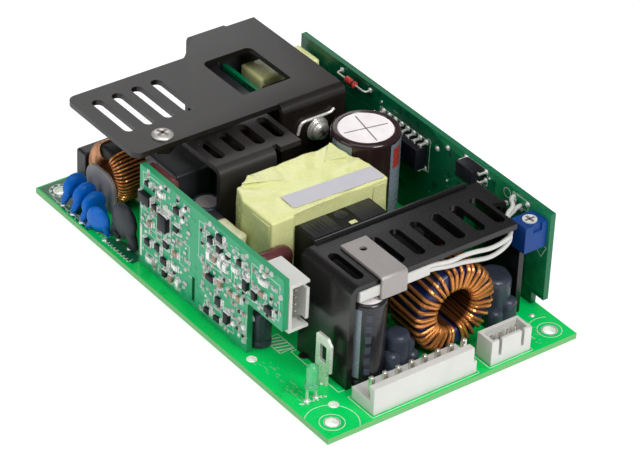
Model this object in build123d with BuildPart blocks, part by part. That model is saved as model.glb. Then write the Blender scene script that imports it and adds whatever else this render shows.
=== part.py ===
import os

from build123d import *

os.makedirs("parts", exist_ok=True)

# Main board
board_length = 127.0
board_width = 76.2
board_thickness = 1.6
mount_inset = 4.7625
mount_hole = 3.5
small_hole = 2.8
front_edge = board_length / 2
right_edge = board_width / 2
deck = board_thickness
mount_spacing_x = board_length - 2 * mount_inset
mount_spacing_y = board_width - 2 * mount_inset
small_holes = [(front_edge - 10.1, 9.2 - right_edge), (front_edge - 35.5, 3.5 - right_edge)]

# Shared small sizes
lead = 0.8
seat_gap = 0.05
solder_radius = 1.1
solder_height = 2.6

# Upright boards
upright_thickness = 1.6
control_inset = 3.8
control_left = -21.0
control_right = 39.2
control_top = 31.0
control_leg_right = 25.3
control_step = 16.4
control_slit_x = 2.6
control_slit_width = 1.2
control_slit_low = 3.4
control_slit_high = 10.6
control_outer = control_inset - right_edge
control_inner = control_outer + upright_thickness
feedback_left = -50.4
feedback_right = 52.0
feedback_top = 30.6
feedback_step_x = 47.6
feedback_step_z = 5.2
feedback_inner = right_edge - upright_thickness
standby_left = -50.0
standby_right = -33.0
standby_front = 11.0
standby_thickness = 1.2
standby_top = 29.5

# Primary heat sink, folded sheet with an arm
sheet = 1.5
fold = 2.5
primary_top = 35.0
primary_left = -36.7
primary_arm_back = -51.0
primary_arm_front = -19.6
primary_back = -59.4
primary_right = 26.4
primary_front = -17.6
primary_notch_y = 6.6
primary_diagonal_y = -0.7
primary_corner = 2.2
primary_lip_end = 17.5
primary_lip_out = 1.2
primary_slot_length = 16.9
primary_slot_width = 3.0
primary_slot_x = -37.75
primary_slot_y = -31.2
primary_slot_pitch = 5.9
primary_window_x = -37.2
primary_window_y = 9.1
primary_window_length = 18.4
primary_window_width = 15.1

# Rectifier heat sink
rectifier_top = 30.0
rectifier_back = -25.3
rectifier_front = -8.6
rectifier_left = -18.8
rectifier_right = 6.3
rectifier_fold_end = -1.6
rectifier_flat_start = 0.0
rectifier_leg_left = -13.6
rectifier_slot_x = -18.3
rectifier_slot_length = 10.2
rectifier_slot_width = 3.0
rectifier_slot_y = -15.0
rectifier_slot_pitch = 6.1

# Output heat sink
output_sheet = 1.6
output_top = 31.0
output_back = 31.0
output_front = 50.7
output_left = -23.3
output_right = 32.0
output_plate_right = 27.0
output_leg_front = 40.7
output_leg_low_front = 48.6
output_leg_step = 20.0
output_lip_back = 30.0
output_lip_thickness = 1.4
output_lip_rise = 0.6
output_lip_left = -19.0
output_lip_right = 26.8
output_slot_x = 42.1
output_slot_length = 12.2
output_slot_width = 2.9
output_slot_y = -18.4
output_slot_pitch = 6.13
output_slot_count = 8

# Fasteners of the heat sinks
screw_shank = 2.9
screw_hole = 3.2
arm_screw_x = -23.6
arm_screw_y = -26.0
arm_head = 5.6
arm_head_height = 0.9
cross_length = 3.4
cross_width = 0.8
cross_depth = 0.6
flange_screw_y = 17.6
flange_screw_z = 25.0
washer = 6.6
washer_thickness = 0.8
flange_head = 5.2
flange_head_height = 2.2
nut_flats = 5.5
nut_height = 2.4
wire = 0.9
wire_z = 28.9
wire_left = 12.0
wire_right = 21.6
wire_drop = 3.4

# Power package
tab_width = 10.0
tab_height = 15.6
tab_thickness = 1.3
package_height = 9.2
package_depth = 4.5
tab_hole_drop = 2.8
package_pitch = 2.54
rectifier_ys = [-10.0, 8.0]
rectifier_tab_top = 26.0

# Sensor on the output heat sink
clip_sheet = 0.8
clip_back = 35.4
clip_left = -15.0
clip_right = -7.4
clip_low = 25.6
clip_hole = 2.0
clip_hole_x = 39.4
clip_gap = 0.5
sensor_length = 21.0
sensor_depth = 1.8
sensor_height = 2.9
sensor_wire = 0.5

# Transformer
winding_back = -4.5
winding_front = 15.4
winding_left = -21.3
winding_right = 14.9
winding_top = 29.5
winding_wing_front = 16.6
winding_wing_right = -14.4
winding_nose = 8.6
winding_nose_back = 3.0
winding_nose_side = 2.2
winding_cut_x = 7.8
winding_cut_y = 12.1
winding_bevel = 0.6
core_depth = 7.8
core_left = -13.6
core_right = 9.2
core_top = 25.5
core_bevel = 0.5
label_length = 27.0
label_width = 5.6
label_thickness = 0.15
label_x = 11.7
label_y = 0.6
label_turn = 2.5
drive_back = -5.0
drive_front = 8.0
drive_width = 6.4
drive_gap = 0.8
drive_top = 20.0
drive_bevel = 0.8

# Chokes
line_x = -48.0
line_face = -27.4
line_outer = 7.8
line_inner = 4.3
line_depth = 8.4
line_wire = 0.8
line_turns = 8
line_span = 126.0
line_plate_width = 13.0
line_plate_height = 10.6
line_plate_corner = 4.5
line_plate_thickness = 1.1
boost_back = -50.0
boost_tape_depth = 9.5
boost_core_depth = 8.5
boost_left = 16.5
boost_right = 35.5
boost_top = 28.0
boost_core_top = 26.0
ring_front = 53.2
ring_y = 8.0
ring_outer = 11.2
ring_inner = 6.3
ring_depth = 10.8
ring_wire = 1.1
ring_turns = 28

# Electrolytic capacitors
bulk_diameter = 18.0
bulk_height = 30.0
bulk_x = -3.1
bulk_gap = 5.6
supply_diameter = 8.2
supply_height = 14.2
supply_x = -14.5
supply_y = -18.5
small_can_diameter = 5.8
small_can_height = 10.8
small_can_x = 23.6
small_can_gap = 0.7
tall_diameter = 10.0
tall_height = 24.0
tall_x = 48.2
tall_gap = 0.4
low_diameter = 6.6
low_height = 11.0
low_y = -7.8
low_xs = [49.9]
right_can_diameter = 9.4
right_can_height = 12.6
right_can_x = 45.5
right_can_gap = 0.3

# Film and box capacitors
film_a_left = -23.4
film_a_length = 12.0
film_a_thickness = 3.6
film_a_low = 9.0
film_a_top = 27.0
film_b_x = 20.0
film_b_thickness = 5.0
film_b_back = -18.0
film_b_length = 10.5
film_b_low = 13.8
film_b_top = 24.6
film_bevel = 0.9
box_bevel = 0.4
x_cap_back = -61.2
x_cap_depth = 4.2
x_cap_left = -27.0
x_cap_right = -14.0
x_cap_top = 11.4
filter_back = -33.0
filter_front = -19.2
filter_left = -24.5
filter_right = -14.4
filter_top = 24.5

# Discs
disc_radius = 3.6
disc_sides = 16
disc_thickness = 2.8
disc_centres = [(-52.9, -32.9, 6.4), (-48.0, -33.1, 6.3), (-43.6, -33.2, 6.0)]
disc_foot = 3.6
front_disc_x = -37.8
front_disc_y = -35.6
front_disc_z = 5.4
front_disc_turn = 20.0
front_disc_thickness = 2.4
thermistor_x = -29.5
thermistor_y = -33.2
thermistor_z = 8.6
thermistor_radius = 5.0
thermistor_thickness = 3.4
thermistor_foot = 2.6
leg_thickness = 0.7

# Parts of the right board
dip_left = -15.2
dip_length = 19.5
dip_low = 18.4
dip_height = 6.4
dip_depth = 3.4
dip_standoff = 0.5
dip_pitch = 2.54
dip_pins = int(dip_length / dip_pitch + 0.5)
dip_reach = 0.7
opto_x = 23.2
opto_z = 28.3
opto_length = 6.5
opto_height = 4.4
opto_depth = 3.6
opto_pitch = 2.5
diode_x = -26.3
diode_z = 28.6
diode_length = 4.0
diode_diameter = 2.0
diode_reach = 6.2
diode_standoff = 1.8
trimmer_back = 45.4
trimmer_length = 5.7
trimmer_width = 6.9
trimmer_low = 21.1
trimmer_top = 28.6
trimmer_bore = 3.8
trimmer_depth = 1.4
trimmer_recess = 0.6
rotor_clearance = 0.04
rotor_rise = 0.25
rotor_slot = 0.8
rotor_slot_depth = 0.7

# Bridge rectifier and input header under the primary heat sink
bridge_left = -52.5
bridge_right = -31.5
bridge_front = 6.6
bridge_thickness = 3.6
bridge_low = 5.0
bridge_top = 28.5
input_back = -62.5
input_left = -12.0
input_pins = 3
input_pitch = 3.96

# Lamp and blade
led_x = 48.6
led_y = -32.0
led_low = 5.2
led_diameter = 3.0
led_flange = 3.8
led_flange_height = 1.0
led_body = 5.6
led_pitch = 2.54
led_wire = 0.5
tab_left = 42.3
tab_length = 5.8
tab_y = -26.0
tab_sheet = 0.8
tab_top = 15.5
tab_neck = 3.0
tab_neck_top = 6.0
tab_window_low = 8.2
tab_window_high = 12.8
tab_window_width = 2.4

# Pin headers
header_pins = 8
header_pitch = 3.96
header_first = -22.1
header_pin_x = 58.8
header_margin = 1.75
header_back = 53.6
header_front = 62.3
header_base = 5.0
header_wall = 1.7
header_wall_top = 9.3
header_pin = 1.14
header_pin_top = 10.5
signal_pins = 4
signal_pitch = 2.5
signal_back = 56.65
signal_front = 62.4
signal_left = 11.7
signal_right = 24.1
signal_top = 8.6
signal_wall = 0.9
signal_floor = 2.2
signal_pin = 0.64
signal_pin_top = 7.8
signal_slit = 0.9
side_back = 28.0
side_front = 39.6
side_width = 5.8
side_low = 15.4
side_top = 29.0
side_wall = 0.9
side_floor = 4.0
side_pins = 5
side_pitch = 2.0
side_notch = 1.6
side_pin_end = 38.4

# Surface parts of the control board: centre x, centre z, length, height, thickness
chips = [
    (-17.4, 23.0, 4.6, 2.6, 1.6),
    (-9.6, 20.0, 3.4, 4.6, 1.5),
    (-17.2, 27.4, 1.6, 1.2, 0.9),
    (-11.4, 27.2, 1.6, 1.2, 0.9),
    (-4.2, 26.6, 2.4, 1.6, 1.0),
    (-13.6, 22.4, 1.8, 1.3, 1.0),
    (-16.0, 16.2, 1.6, 1.2, 0.9),
    (-16.6, 10.3, 2.2, 1.6, 1.0),
    (-9.0, 13.7, 2.0, 2.0, 0.7),
    (-5.0, 13.2, 2.0, 1.4, 0.7),
    (-12.6, 10.8, 2.2, 1.8, 0.7),
    (-16.2, 5.2, 2.0, 1.6, 0.9),
    (-9.6, 8.4, 2.6, 1.8, 0.8),
    (-5.2, 9.2, 1.8, 1.4, 0.7),
    (-9.4, 4.8, 1.4, 2.0, 0.8),
    (-6.8, 4.8, 1.4, 2.0, 0.8),
    (-3.8, 4.8, 1.4, 2.0, 0.8),
    (-4.8, 20.8, 1.8, 1.8, 0.7),
    (10.3, 26.4, 2.2, 1.6, 1.1),
    (13.8, 25.6, 1.6, 1.8, 1.1),
    (13.6, 28.6, 2.6, 1.8, 0.7),
    (17.0, 25.0, 1.2, 1.2, 0.7),
    (9.4, 21.4, 1.4, 2.2, 0.9),
    (11.8, 21.6, 1.3, 1.8, 0.9),
    (14.0, 21.6, 1.3, 1.8, 0.9),
    (16.2, 21.6, 1.3, 1.8, 0.9),
    (10.4, 15.2, 3.0, 1.6, 1.1),
    (14.2, 15.6, 1.4, 2.0, 0.9),
    (18.6, 15.4, 2.0, 1.2, 0.7),
    (21.8, 15.6, 1.6, 1.6, 0.7),
    (20.2, 23.4, 1.8, 1.4, 0.9),
    (22.0, 26.4, 2.0, 1.4, 0.8),
    (24.8, 21.6, 1.6, 3.0, 1.1),
    (28.2, 20.6, 1.6, 2.6, 0.9),
    (31.2, 26.2, 2.2, 1.4, 0.8),
    (31.0, 22.6, 2.0, 1.2, 0.8),
    (34.4, 20.0, 3.0, 1.7, 1.1),
    (13.6, 10.0, 2.4, 2.2, 0.7),
    (17.4, 7.4, 1.8, 3.0, 1.1),
    (9.0, 4.6, 2.2, 1.6, 0.7),
    (13.2, 4.6, 2.6, 1.4, 0.7),
]

# Lead ends under the board that belong to no measured part
spare_leads = [(-30, 30), (-45, 30), (-20, -5), (-2, -10), (10, -10), (20, 10)]


def upright(y):
    """The vertical plane at one y: x runs along X, y along Z, and it faces -Y."""
    return Plane(origin=(0, y, 0), x_dir=(1, 0, 0), z_dir=(0, -1, 0))


def across(x):
    """The vertical plane at one x: x runs along Y, y along Z, and it faces +X."""
    return Plane(origin=(x, 0, 0), x_dir=(0, 1, 0), z_dir=(1, 0, 0))


def level(z):
    """The horizontal plane at one height."""
    return Plane.XY.offset(z)


def block(x_range, y_range, z_range, mode=Mode.ADD):
    """A box between two values on each axis."""
    x_low, x_high = x_range
    y_low, y_high = y_range
    z_low, z_high = z_range
    with Locations(((x_low + x_high) / 2, (y_low + y_high) / 2, (z_low + z_high) / 2)):
        Box(x_high - x_low, y_high - y_low, z_high - z_low, mode=mode)


def slot(length, width, mode=Mode.SUBTRACT, cut=0.32):
    """A slot along X with cut corners, each a share of its width."""
    x = length / 2
    y = width / 2
    c = width * cut
    left = ((-x, y - c), (-x, c - y), (c - x, -y))
    right = ((x - c, -y), (x, c - y), (x, y - c), (x - c, y))
    Polygon(*left, *right, (c - x, y), mode=mode)


def ring_plane(centre, axis, angle, size):
    """A plane beside a ring's axis: x runs outward at the angle, y along the axis, half a turn back."""
    outward = Vector(0, 0, 1).rotate(Axis((0, 0, 0), axis), angle)
    return Plane(origin=centre, x_dir=outward, z_dir=outward.cross(Vector(axis))).offset(-size / 2)


def ring_turn(outer, inner, depth, size):
    """One turn around a ring's section, in the plane of ring_plane."""
    gap = seat_gap
    low = inner - gap - size
    high = outer + gap + size
    half = depth / 2 + gap + size
    cut = size * 0.6
    Polygon(
        (low + cut, -half),
        (high - cut, -half),
        (high, cut - half),
        (high, half - cut),
        (high - cut, half),
        (low + cut, half),
        (low, half - cut),
        (low, cut - half),
        align=None,
    )
    with Locations(((outer + inner) / 2, 0)):
        Rectangle(outer - inner + 2 * gap, depth + 2 * gap, mode=Mode.SUBTRACT)


def spread(middle, span, count):
    """Evenly spaced angles about a middle."""
    return [middle - span / 2 + span * k / (count - 1) for k in range(count)]


def leg_pair(radius, height, foot):
    """Two coated legs under a disc, in the plane of the disc, from its rim down to the deck."""
    for side in (-1, 1):
        Polygon(
            (side * radius * 0.95, -radius * 0.1),
            (side * radius * 0.35, -radius * 0.75),
            (side * (foot - leg_thickness / 2), -height),
            (side * (foot + leg_thickness / 2), -height),
            align=None,
        )


def package(face_x, centre_y, top_z, side):
    """A power package whose tab lies on a sheet at face_x and whose body stands away along side."""
    low = top_z - tab_height
    half = tab_width / 2
    near = sorted((face_x, face_x + side * tab_thickness))
    far = sorted((face_x, face_x + side * package_depth))
    pins = sorted((face_x + side * 2.2, face_x + side * 2.8))
    block(near, (centre_y - half, centre_y + half), (low, top_z))
    block(far, (centre_y - half, centre_y + half), (low, low + package_height))
    for k in (-1, 0, 1):
        y = centre_y + k * package_pitch
        block(pins, (y - lead / 2, y + lead / 2), (deck, low))


# Main board
with BuildPart() as main_board:
    with BuildSketch(Plane.XY):
        Rectangle(board_length, board_width)
        with GridLocations(mount_spacing_x, mount_spacing_y, 2, 2):
            Circle(mount_hole / 2, mode=Mode.SUBTRACT)
        with Locations(*small_holes):
            RegularPolygon(small_hole / 2, 12, mode=Mode.SUBTRACT)
    extrude(amount=board_thickness)
main_board.part.label = "main_board"
export_step(main_board.part, "parts/main_board.step")

# Control board: an upright board with a milled slit and a stepped lower edge
with BuildPart() as control_board:
    with BuildSketch(upright(control_inner)):
        Polygon(
            (control_left, deck),
            (control_leg_right, deck),
            (control_leg_right, control_step),
            (control_right, control_step),
            (control_right, control_top),
            (control_left, control_top),
            align=None,
        )
        with Locations((control_slit_x, (control_slit_low + control_slit_high) / 2)):
            Rectangle(control_slit_width, control_slit_high - control_slit_low, mode=Mode.SUBTRACT)
    extrude(amount=upright_thickness)
control_board.part.label = "control_board"
export_step(control_board.part, "parts/control_board.step")

# Surface parts on the outer face of the control board
with BuildPart() as control_chips:
    for thickness in sorted({chip[4] for chip in chips}):
        with BuildSketch(upright(control_outer)):
            for x, z, length, height, depth in chips:
                if depth == thickness:
                    with Locations((x, z)):
                        Rectangle(length, height)
        extrude(amount=thickness)
control_chips.part.label = "control_chips"
export_step(control_chips.part, "parts/control_chips.step")

# Right board
with BuildPart() as feedback_board:
    with BuildSketch(upright(right_edge)):
        Polygon(
            (feedback_left, deck),
            (feedback_step_x, deck),
            (feedback_step_x, feedback_step_z),
            (feedback_right, feedback_step_z),
            (feedback_right, feedback_top),
            (feedback_left, feedback_top),
            align=None,
        )
    extrude(amount=upright_thickness)
feedback_board.part.label = "feedback_board"
export_step(feedback_board.part, "parts/feedback_board.step")

# Small upright board under the window
with BuildPart() as standby_board:
    standby_back = standby_front + standby_thickness
    block((standby_left, standby_right), (standby_front, standby_back), (deck, standby_top))
standby_board.part.label = "standby_board"
export_step(standby_board.part, "parts/standby_board.step")

# Primary heat sink: plate with an arm, front flange and back flange
with BuildPart() as primary_heat_sink:
    with BuildSketch(level(primary_top - sheet)):
        with BuildSketch(mode=Mode.PRIVATE) as arm:
            Polygon(
                (primary_arm_back, primary_left),
                (primary_arm_front, primary_left),
                (primary_arm_front, primary_notch_y),
                (primary_front - fold, primary_notch_y),
                (primary_front - fold, primary_right),
                (primary_back, primary_right),
                (primary_back, primary_notch_y),
                (primary_arm_back, primary_diagonal_y),
                align=None,
            )
            fillet(arm.vertices().group_by(Axis.Y)[0], primary_corner)
        add(arm.sketch)
        for k in range(4):
            with Locations((primary_slot_x, primary_slot_y + k * primary_slot_pitch)):
                slot(primary_slot_length, primary_slot_width)
        with Locations((primary_window_x, primary_window_y)):
            slot(primary_window_length, primary_window_width, cut=0.12)
        with Locations((arm_screw_x, arm_screw_y)):
            RegularPolygon(screw_hole / 2, 8, mode=Mode.SUBTRACT)
    extrude(amount=sheet)
    with BuildSketch(upright(primary_right)):
        with BuildLine():
            FilletPolyline(
                (primary_front - 2 * fold, primary_top),
                (primary_front, primary_top),
                (primary_front, deck),
                radius=fold,
            )
            offset(amount=sheet, side=Side.RIGHT)
        make_face()
    extrude(amount=primary_right - primary_notch_y)
    with BuildSketch(upright(primary_lip_end)):
        with BuildLine():
            FilletPolyline(
                (primary_back + fold, primary_top),
                (primary_back - primary_lip_out, primary_top),
                (primary_back - primary_lip_out, deck),
                radius=fold,
            )
            offset(amount=sheet, side=Side.LEFT)
        make_face()
    extrude(amount=primary_lip_end - primary_notch_y)
    with BuildSketch(across(primary_front)):
        with Locations((flange_screw_y, flange_screw_z)):
            RegularPolygon(screw_hole / 2, 8)
    extrude(amount=-sheet, mode=Mode.SUBTRACT)
primary_heat_sink.part.label = "primary_heat_sink"
export_step(primary_heat_sink.part, "parts/primary_heat_sink.step")

# Rectifier heat sink: slotted plate, folded down at the front except beside the notch
with BuildPart() as rectifier_heat_sink:
    with BuildSketch(level(rectifier_top - sheet)):
        Polygon(
            (rectifier_back, rectifier_left),
            (rectifier_front - fold, rectifier_left),
            (rectifier_front - fold, rectifier_flat_start),
            (rectifier_front - sheet / 2, rectifier_flat_start),
            (rectifier_front - sheet / 2, rectifier_right),
            (rectifier_back, rectifier_right),
            align=None,
        )
        for k in range(4):
            with Locations((rectifier_slot_x, rectifier_slot_y + k * rectifier_slot_pitch)):
                slot(rectifier_slot_length, rectifier_slot_width)
    extrude(amount=sheet)
    with BuildSketch(upright(rectifier_fold_end)):
        with BuildLine():
            FilletPolyline(
                (rectifier_front - fold - sheet, rectifier_top),
                (rectifier_front, rectifier_top),
                (rectifier_front, deck),
                radius=fold,
            )
            offset(amount=sheet, side=Side.RIGHT)
        make_face()
    extrude(amount=rectifier_fold_end - rectifier_left)
    block(
        (rectifier_back, rectifier_back + sheet),
        (rectifier_leg_left, rectifier_right),
        (deck, rectifier_top),
    )
rectifier_heat_sink.part.label = "rectifier_heat_sink"
export_step(rectifier_heat_sink.part, "parts/rectifier_heat_sink.step")

# Output heat sink: channel with a cut back right leg, slots and a raised back lip
with BuildPart() as output_heat_sink:
    with BuildSketch(across(output_back)):
        with BuildLine():
            FilletPolyline(
                (output_left, deck),
                (output_left, output_top),
                (output_right, output_top),
                (output_right, deck),
                radius=fold,
            )
            offset(amount=output_sheet, side=Side.RIGHT)
        make_face()
    extrude(amount=output_front - output_back)
    block(
        (output_leg_front, output_front + sheet),
        (output_plate_right, output_right + sheet),
        (output_leg_step, output_top + sheet),
        mode=Mode.SUBTRACT,
    )
    block(
        (output_leg_low_front, output_front + sheet),
        (output_plate_right, output_right + sheet),
        (deck - sheet, output_top),
        mode=Mode.SUBTRACT,
    )
    block(
        (output_lip_back, output_lip_back + output_lip_thickness),
        (output_lip_left, output_lip_right),
        (deck, output_top + output_lip_rise),
    )
    with BuildSketch(level(output_top)):
        for k in range(output_slot_count):
            with Locations((output_slot_x, output_slot_y + k * output_slot_pitch)):
                slot(output_slot_length, output_slot_width, Mode.ADD)
    extrude(amount=-output_sheet, mode=Mode.SUBTRACT)
output_heat_sink.part.label = "output_heat_sink"
export_step(output_heat_sink.part, "parts/output_heat_sink.step")

# Pan head screw in the arm
with BuildPart() as arm_screw:
    with BuildSketch(level(primary_top)):
        with Locations((arm_screw_x, arm_screw_y)):
            Circle(arm_head / 2)
    extrude(amount=arm_head_height)
    with BuildSketch(level(primary_top)):
        with Locations((arm_screw_x, arm_screw_y)):
            RegularPolygon(screw_shank / 2, 8)
    extrude(amount=-(sheet + nut_height))
    with BuildSketch(level(primary_top + arm_head_height)):
        with Locations((arm_screw_x, arm_screw_y)):
            Rectangle(cross_length, cross_width, rotation=45)
            Rectangle(cross_width, cross_length, rotation=45)
    extrude(amount=-cross_depth, mode=Mode.SUBTRACT)
arm_screw.part.label = "arm_screw"
export_step(arm_screw.part, "parts/arm_screw.step")

# Screw with two washers on the flange
flange_nut_x = primary_front - sheet - tab_thickness
with BuildPart() as flange_screw:
    with BuildSketch(across(primary_front)):
        with Locations((flange_screw_y, flange_screw_z)):
            RegularPolygon(washer / 2, 20)
    extrude(amount=washer_thickness)
    with BuildSketch(across(primary_front)):
        with Locations((flange_screw_y, flange_screw_z)):
            RegularPolygon(flange_head / 2, 20)
    extrude(amount=washer_thickness + flange_head_height)
    with BuildSketch(across(primary_front)):
        with Locations((flange_screw_y, flange_screw_z)):
            RegularPolygon(screw_shank / 2, 8)
    extrude(amount=-(sheet + tab_thickness + nut_height))
    with BuildSketch(across(primary_front + washer_thickness + flange_head_height)):
        with Locations((flange_screw_y, flange_screw_z)):
            Rectangle(cross_length, cross_width, rotation=30)
            Rectangle(cross_width, cross_length, rotation=30)
    extrude(amount=-cross_depth, mode=Mode.SUBTRACT)
flange_screw.part.label = "flange_screw"
export_step(flange_screw.part, "parts/flange_screw.step")

# Nuts of both screws
with BuildPart() as heat_sink_nuts:
    with BuildSketch(level(primary_top - sheet)):
        with Locations((arm_screw_x, arm_screw_y)):
            RegularPolygon(nut_flats / 2, 6, major_radius=False)
            RegularPolygon(screw_shank / 2 + seat_gap, 8, mode=Mode.SUBTRACT)
    extrude(amount=-nut_height)
    with BuildSketch(across(flange_nut_x)):
        with Locations((flange_screw_y, flange_screw_z)):
            RegularPolygon(nut_flats / 2, 6, major_radius=False)
            RegularPolygon(screw_shank / 2 + seat_gap, 8, mode=Mode.SUBTRACT)
    extrude(amount=-nut_height)
heat_sink_nuts.part.label = "heat_sink_nuts"
export_step(heat_sink_nuts.part, "parts/heat_sink_nuts.step")

# Bent bare wire lying on the flange
wire_x = primary_front + wire / 2
with BuildPart() as flange_wire:
    with BuildLine() as wire_path:
        Polyline(
            (wire_x, wire_left - wire, wire_z - wire_drop),
            (wire_x, wire_left, wire_z),
            (wire_x, wire_right, wire_z),
            (wire_x, wire_right + wire, wire_z + wire),
        )
    wire_run = wire_path.wires()[0]
    with BuildSketch(Plane(origin=wire_run @ 0, z_dir=wire_run % 0)):
        Rectangle(wire, wire)
    sweep(path=wire_run, transition=Transition.RIGHT)
flange_wire.part.label = "flange_wire"
export_step(flange_wire.part, "parts/flange_wire.step")

# Switch on the back of the flange
with BuildPart() as switch_transistor:
    package(primary_front - sheet, flange_screw_y, flange_screw_z + tab_hole_drop, -1)
    with BuildSketch(across(primary_front - sheet)):
        with Locations((flange_screw_y, flange_screw_z)):
            RegularPolygon(screw_hole / 2, 8)
    extrude(amount=-tab_thickness, mode=Mode.SUBTRACT)
switch_transistor.part.label = "switch_transistor"
export_step(switch_transistor.part, "parts/switch_transistor.step")

# Output rectifiers on the back wall of the output heat sink
with BuildPart() as output_rectifiers:
    for y in rectifier_ys:
        package(output_lip_back + output_lip_thickness, y, rectifier_tab_top, 1)
output_rectifiers.part.label = "output_rectifiers"
export_step(output_rectifiers.part, "parts/output_rectifiers.step")

# Sensor clip: strip on the top plate that hooks over its front edge
clip_inside = output_front + clip_gap
with BuildPart() as sensor_clip:
    with BuildSketch(upright(clip_right)):
        with BuildLine():
            FilletPolyline(
                (clip_back, output_top + clip_sheet),
                (clip_inside + clip_sheet, output_top + clip_sheet),
                (clip_inside + clip_sheet, clip_low),
                radius=clip_sheet + clip_gap / 2,
            )
            offset(amount=clip_sheet, side=Side.RIGHT)
        make_face()
    extrude(amount=clip_right - clip_left)
    with BuildSketch(level(output_top)):
        with Locations((clip_hole_x, (clip_left + clip_right) / 2)):
            RegularPolygon(clip_hole / 2, 8)
    extrude(amount=clip_sheet, mode=Mode.SUBTRACT)
sensor_clip.part.label = "sensor_clip"
export_step(sensor_clip.part, "parts/sensor_clip.step")

# White sensor held under the plate by the clip
sensor_left = output_left + fold
sensor_right = sensor_left + sensor_length
sensor_top = output_top - output_sheet
with BuildPart() as temperature_sensor:
    block(
        (clip_inside - sensor_depth, clip_inside),
        (sensor_left, sensor_right),
        (sensor_top - sensor_height, sensor_top),
    )
temperature_sensor.part.label = "temperature_sensor"
export_step(temperature_sensor.part, "parts/temperature_sensor.step")

# Two white leads from the sensor, along the plate and under its end to the right board
lead_x = output_front + 0.6
lead_z = sensor_top - sensor_height / 2
ring_clear = deck + 2 * (ring_outer + ring_wire) + sensor_wire
with BuildPart() as sensor_leads:
    for rise, end_x in ((0.55, output_leg_front - 2.4), (-0.5, output_leg_front + 0.3)):
        with BuildLine() as lead_path:
            Polyline(
                (clip_inside - sensor_depth / 2, sensor_right, lead_z + rise),
                (clip_inside - sensor_depth / 2, sensor_right + 1.0, lead_z + rise),
                (lead_x, ring_y - 2.0, ring_clear + 0.8 + rise),
                (lead_x, ring_y + 2.0, ring_clear + 0.6 + rise),
                (lead_x, ring_y + 6.0, ring_clear - 0.3 + rise),
                (lead_x, ring_y + 10.5, ring_clear - 1.2 + rise),
                (lead_x - 0.5, output_plate_right - 4.0, ring_clear - 0.8 + rise),
                (output_front - 1.2, output_plate_right - 0.4, lead_z - 1.2 + rise),
                (trimmer_back + 0.6, output_plate_right + 1.0, lead_z + rise),
                (output_leg_front + 2.9, output_plate_right + 2.6, lead_z + 0.3 + rise),
                (output_leg_front + 1.6, output_right + 1.0, lead_z + 0.4 + rise),
                (end_x, feedback_inner - 1.5, lead_z + rise),
                (end_x, feedback_inner, lead_z + rise),
            )
        lead_run = lead_path.wires()[0]
        with BuildSketch(Plane(origin=lead_run @ 0, z_dir=lead_run % 0)):
            RegularPolygon(sensor_wire, 6)
        sweep(path=lead_run, transition=Transition.RIGHT)
sensor_leads.part.label = "sensor_leads"
export_step(sensor_leads.part, "parts/sensor_leads.step")

# Blade terminal
tab_mid = tab_left + tab_length / 2
with BuildPart() as ground_tab:
    with BuildSketch(upright(tab_y + tab_sheet / 2)):
        Polygon(
            (tab_mid - tab_neck / 2, deck),
            (tab_mid + tab_neck / 2, deck),
            (tab_mid + tab_neck / 2, tab_neck_top),
            (tab_left + tab_length, tab_neck_top),
            (tab_left + tab_length, tab_top - 1.6),
            (tab_left + tab_length - 1.6, tab_top),
            (tab_left + 0.6, tab_top),
            (tab_left, tab_top - 0.6),
            (tab_left, tab_neck_top),
            (tab_mid - tab_neck / 2, tab_neck_top),
            align=None,
        )
        with Locations((tab_mid, (tab_window_low + tab_window_high) / 2)):
            Rectangle(tab_window_width, tab_window_high - tab_window_low, mode=Mode.SUBTRACT)
    extrude(amount=tab_sheet)
ground_tab.part.label = "ground_tab"
export_step(ground_tab.part, "parts/ground_tab.step")

# Transformer: taped block with a wing and a cut corner
with BuildPart() as transformer_winding:
    with BuildSketch(level(deck)):
        Polygon(
            (winding_back, winding_left + winding_nose),
            (winding_back + winding_nose_back, winding_left + winding_nose_side),
            (winding_back + winding_nose, winding_left),
            (winding_wing_front, winding_left),
            (winding_wing_front, winding_wing_right),
            (winding_front, winding_wing_right),
            (winding_front, winding_right),
            (winding_cut_x, winding_right),
            (winding_back, winding_cut_y),
            align=None,
        )
    extrude(amount=winding_top - deck)
    chamfer(transformer_winding.faces().sort_by(Axis.Z)[-1].edges(), winding_bevel)
transformer_winding.part.label = "transformer_winding"
export_step(transformer_winding.part, "parts/transformer_winding.step")

# Front of the core, standing against the block
with BuildPart() as transformer_core:
    block((winding_front, winding_front + core_depth), (core_left, core_right), (deck, core_top))
    chamfer(transformer_core.faces().sort_by(Axis.X)[-1].edges().filter_by(Axis.Z), core_bevel)
transformer_core.part.label = "transformer_core"
export_step(transformer_core.part, "parts/transformer_core.step")

# Bare label on the block
with BuildPart() as transformer_label:
    with BuildSketch(level(winding_top)):
        with Locations((label_x, label_y)):
            Rectangle(label_width, label_length, rotation=-label_turn)
    extrude(amount=label_thickness)
transformer_label.part.label = "transformer_label"
export_step(transformer_label.part, "parts/transformer_label.step")

# Small taped transformer
drive_right = winding_left - drive_gap
with BuildPart() as drive_transformer:
    block((drive_back, drive_front), (drive_right - drive_width, drive_right), (deck, drive_top))
    chamfer(drive_transformer.faces().sort_by(Axis.Z)[-1].edges(), drive_bevel)
drive_transformer.part.label = "drive_transformer"
export_step(drive_transformer.part, "parts/drive_transformer.step")

# Line choke: ring across the board with two windings and a plate in front
line_z = deck + line_outer + line_wire + seat_gap
line_y = line_face + line_wire + seat_gap + line_depth / 2
line_centre = (line_x, line_y, line_z)
with BuildPart() as line_choke_core:
    with BuildSketch(upright(line_y + line_depth / 2)):
        with Locations((line_x, line_z)):
            RegularPolygon(line_outer, 20)
            RegularPolygon(line_inner, 20, major_radius=False, mode=Mode.SUBTRACT)
    extrude(amount=line_depth)
line_choke_core.part.label = "line_choke_core"
export_step(line_choke_core.part, "parts/line_choke_core.step")

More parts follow.
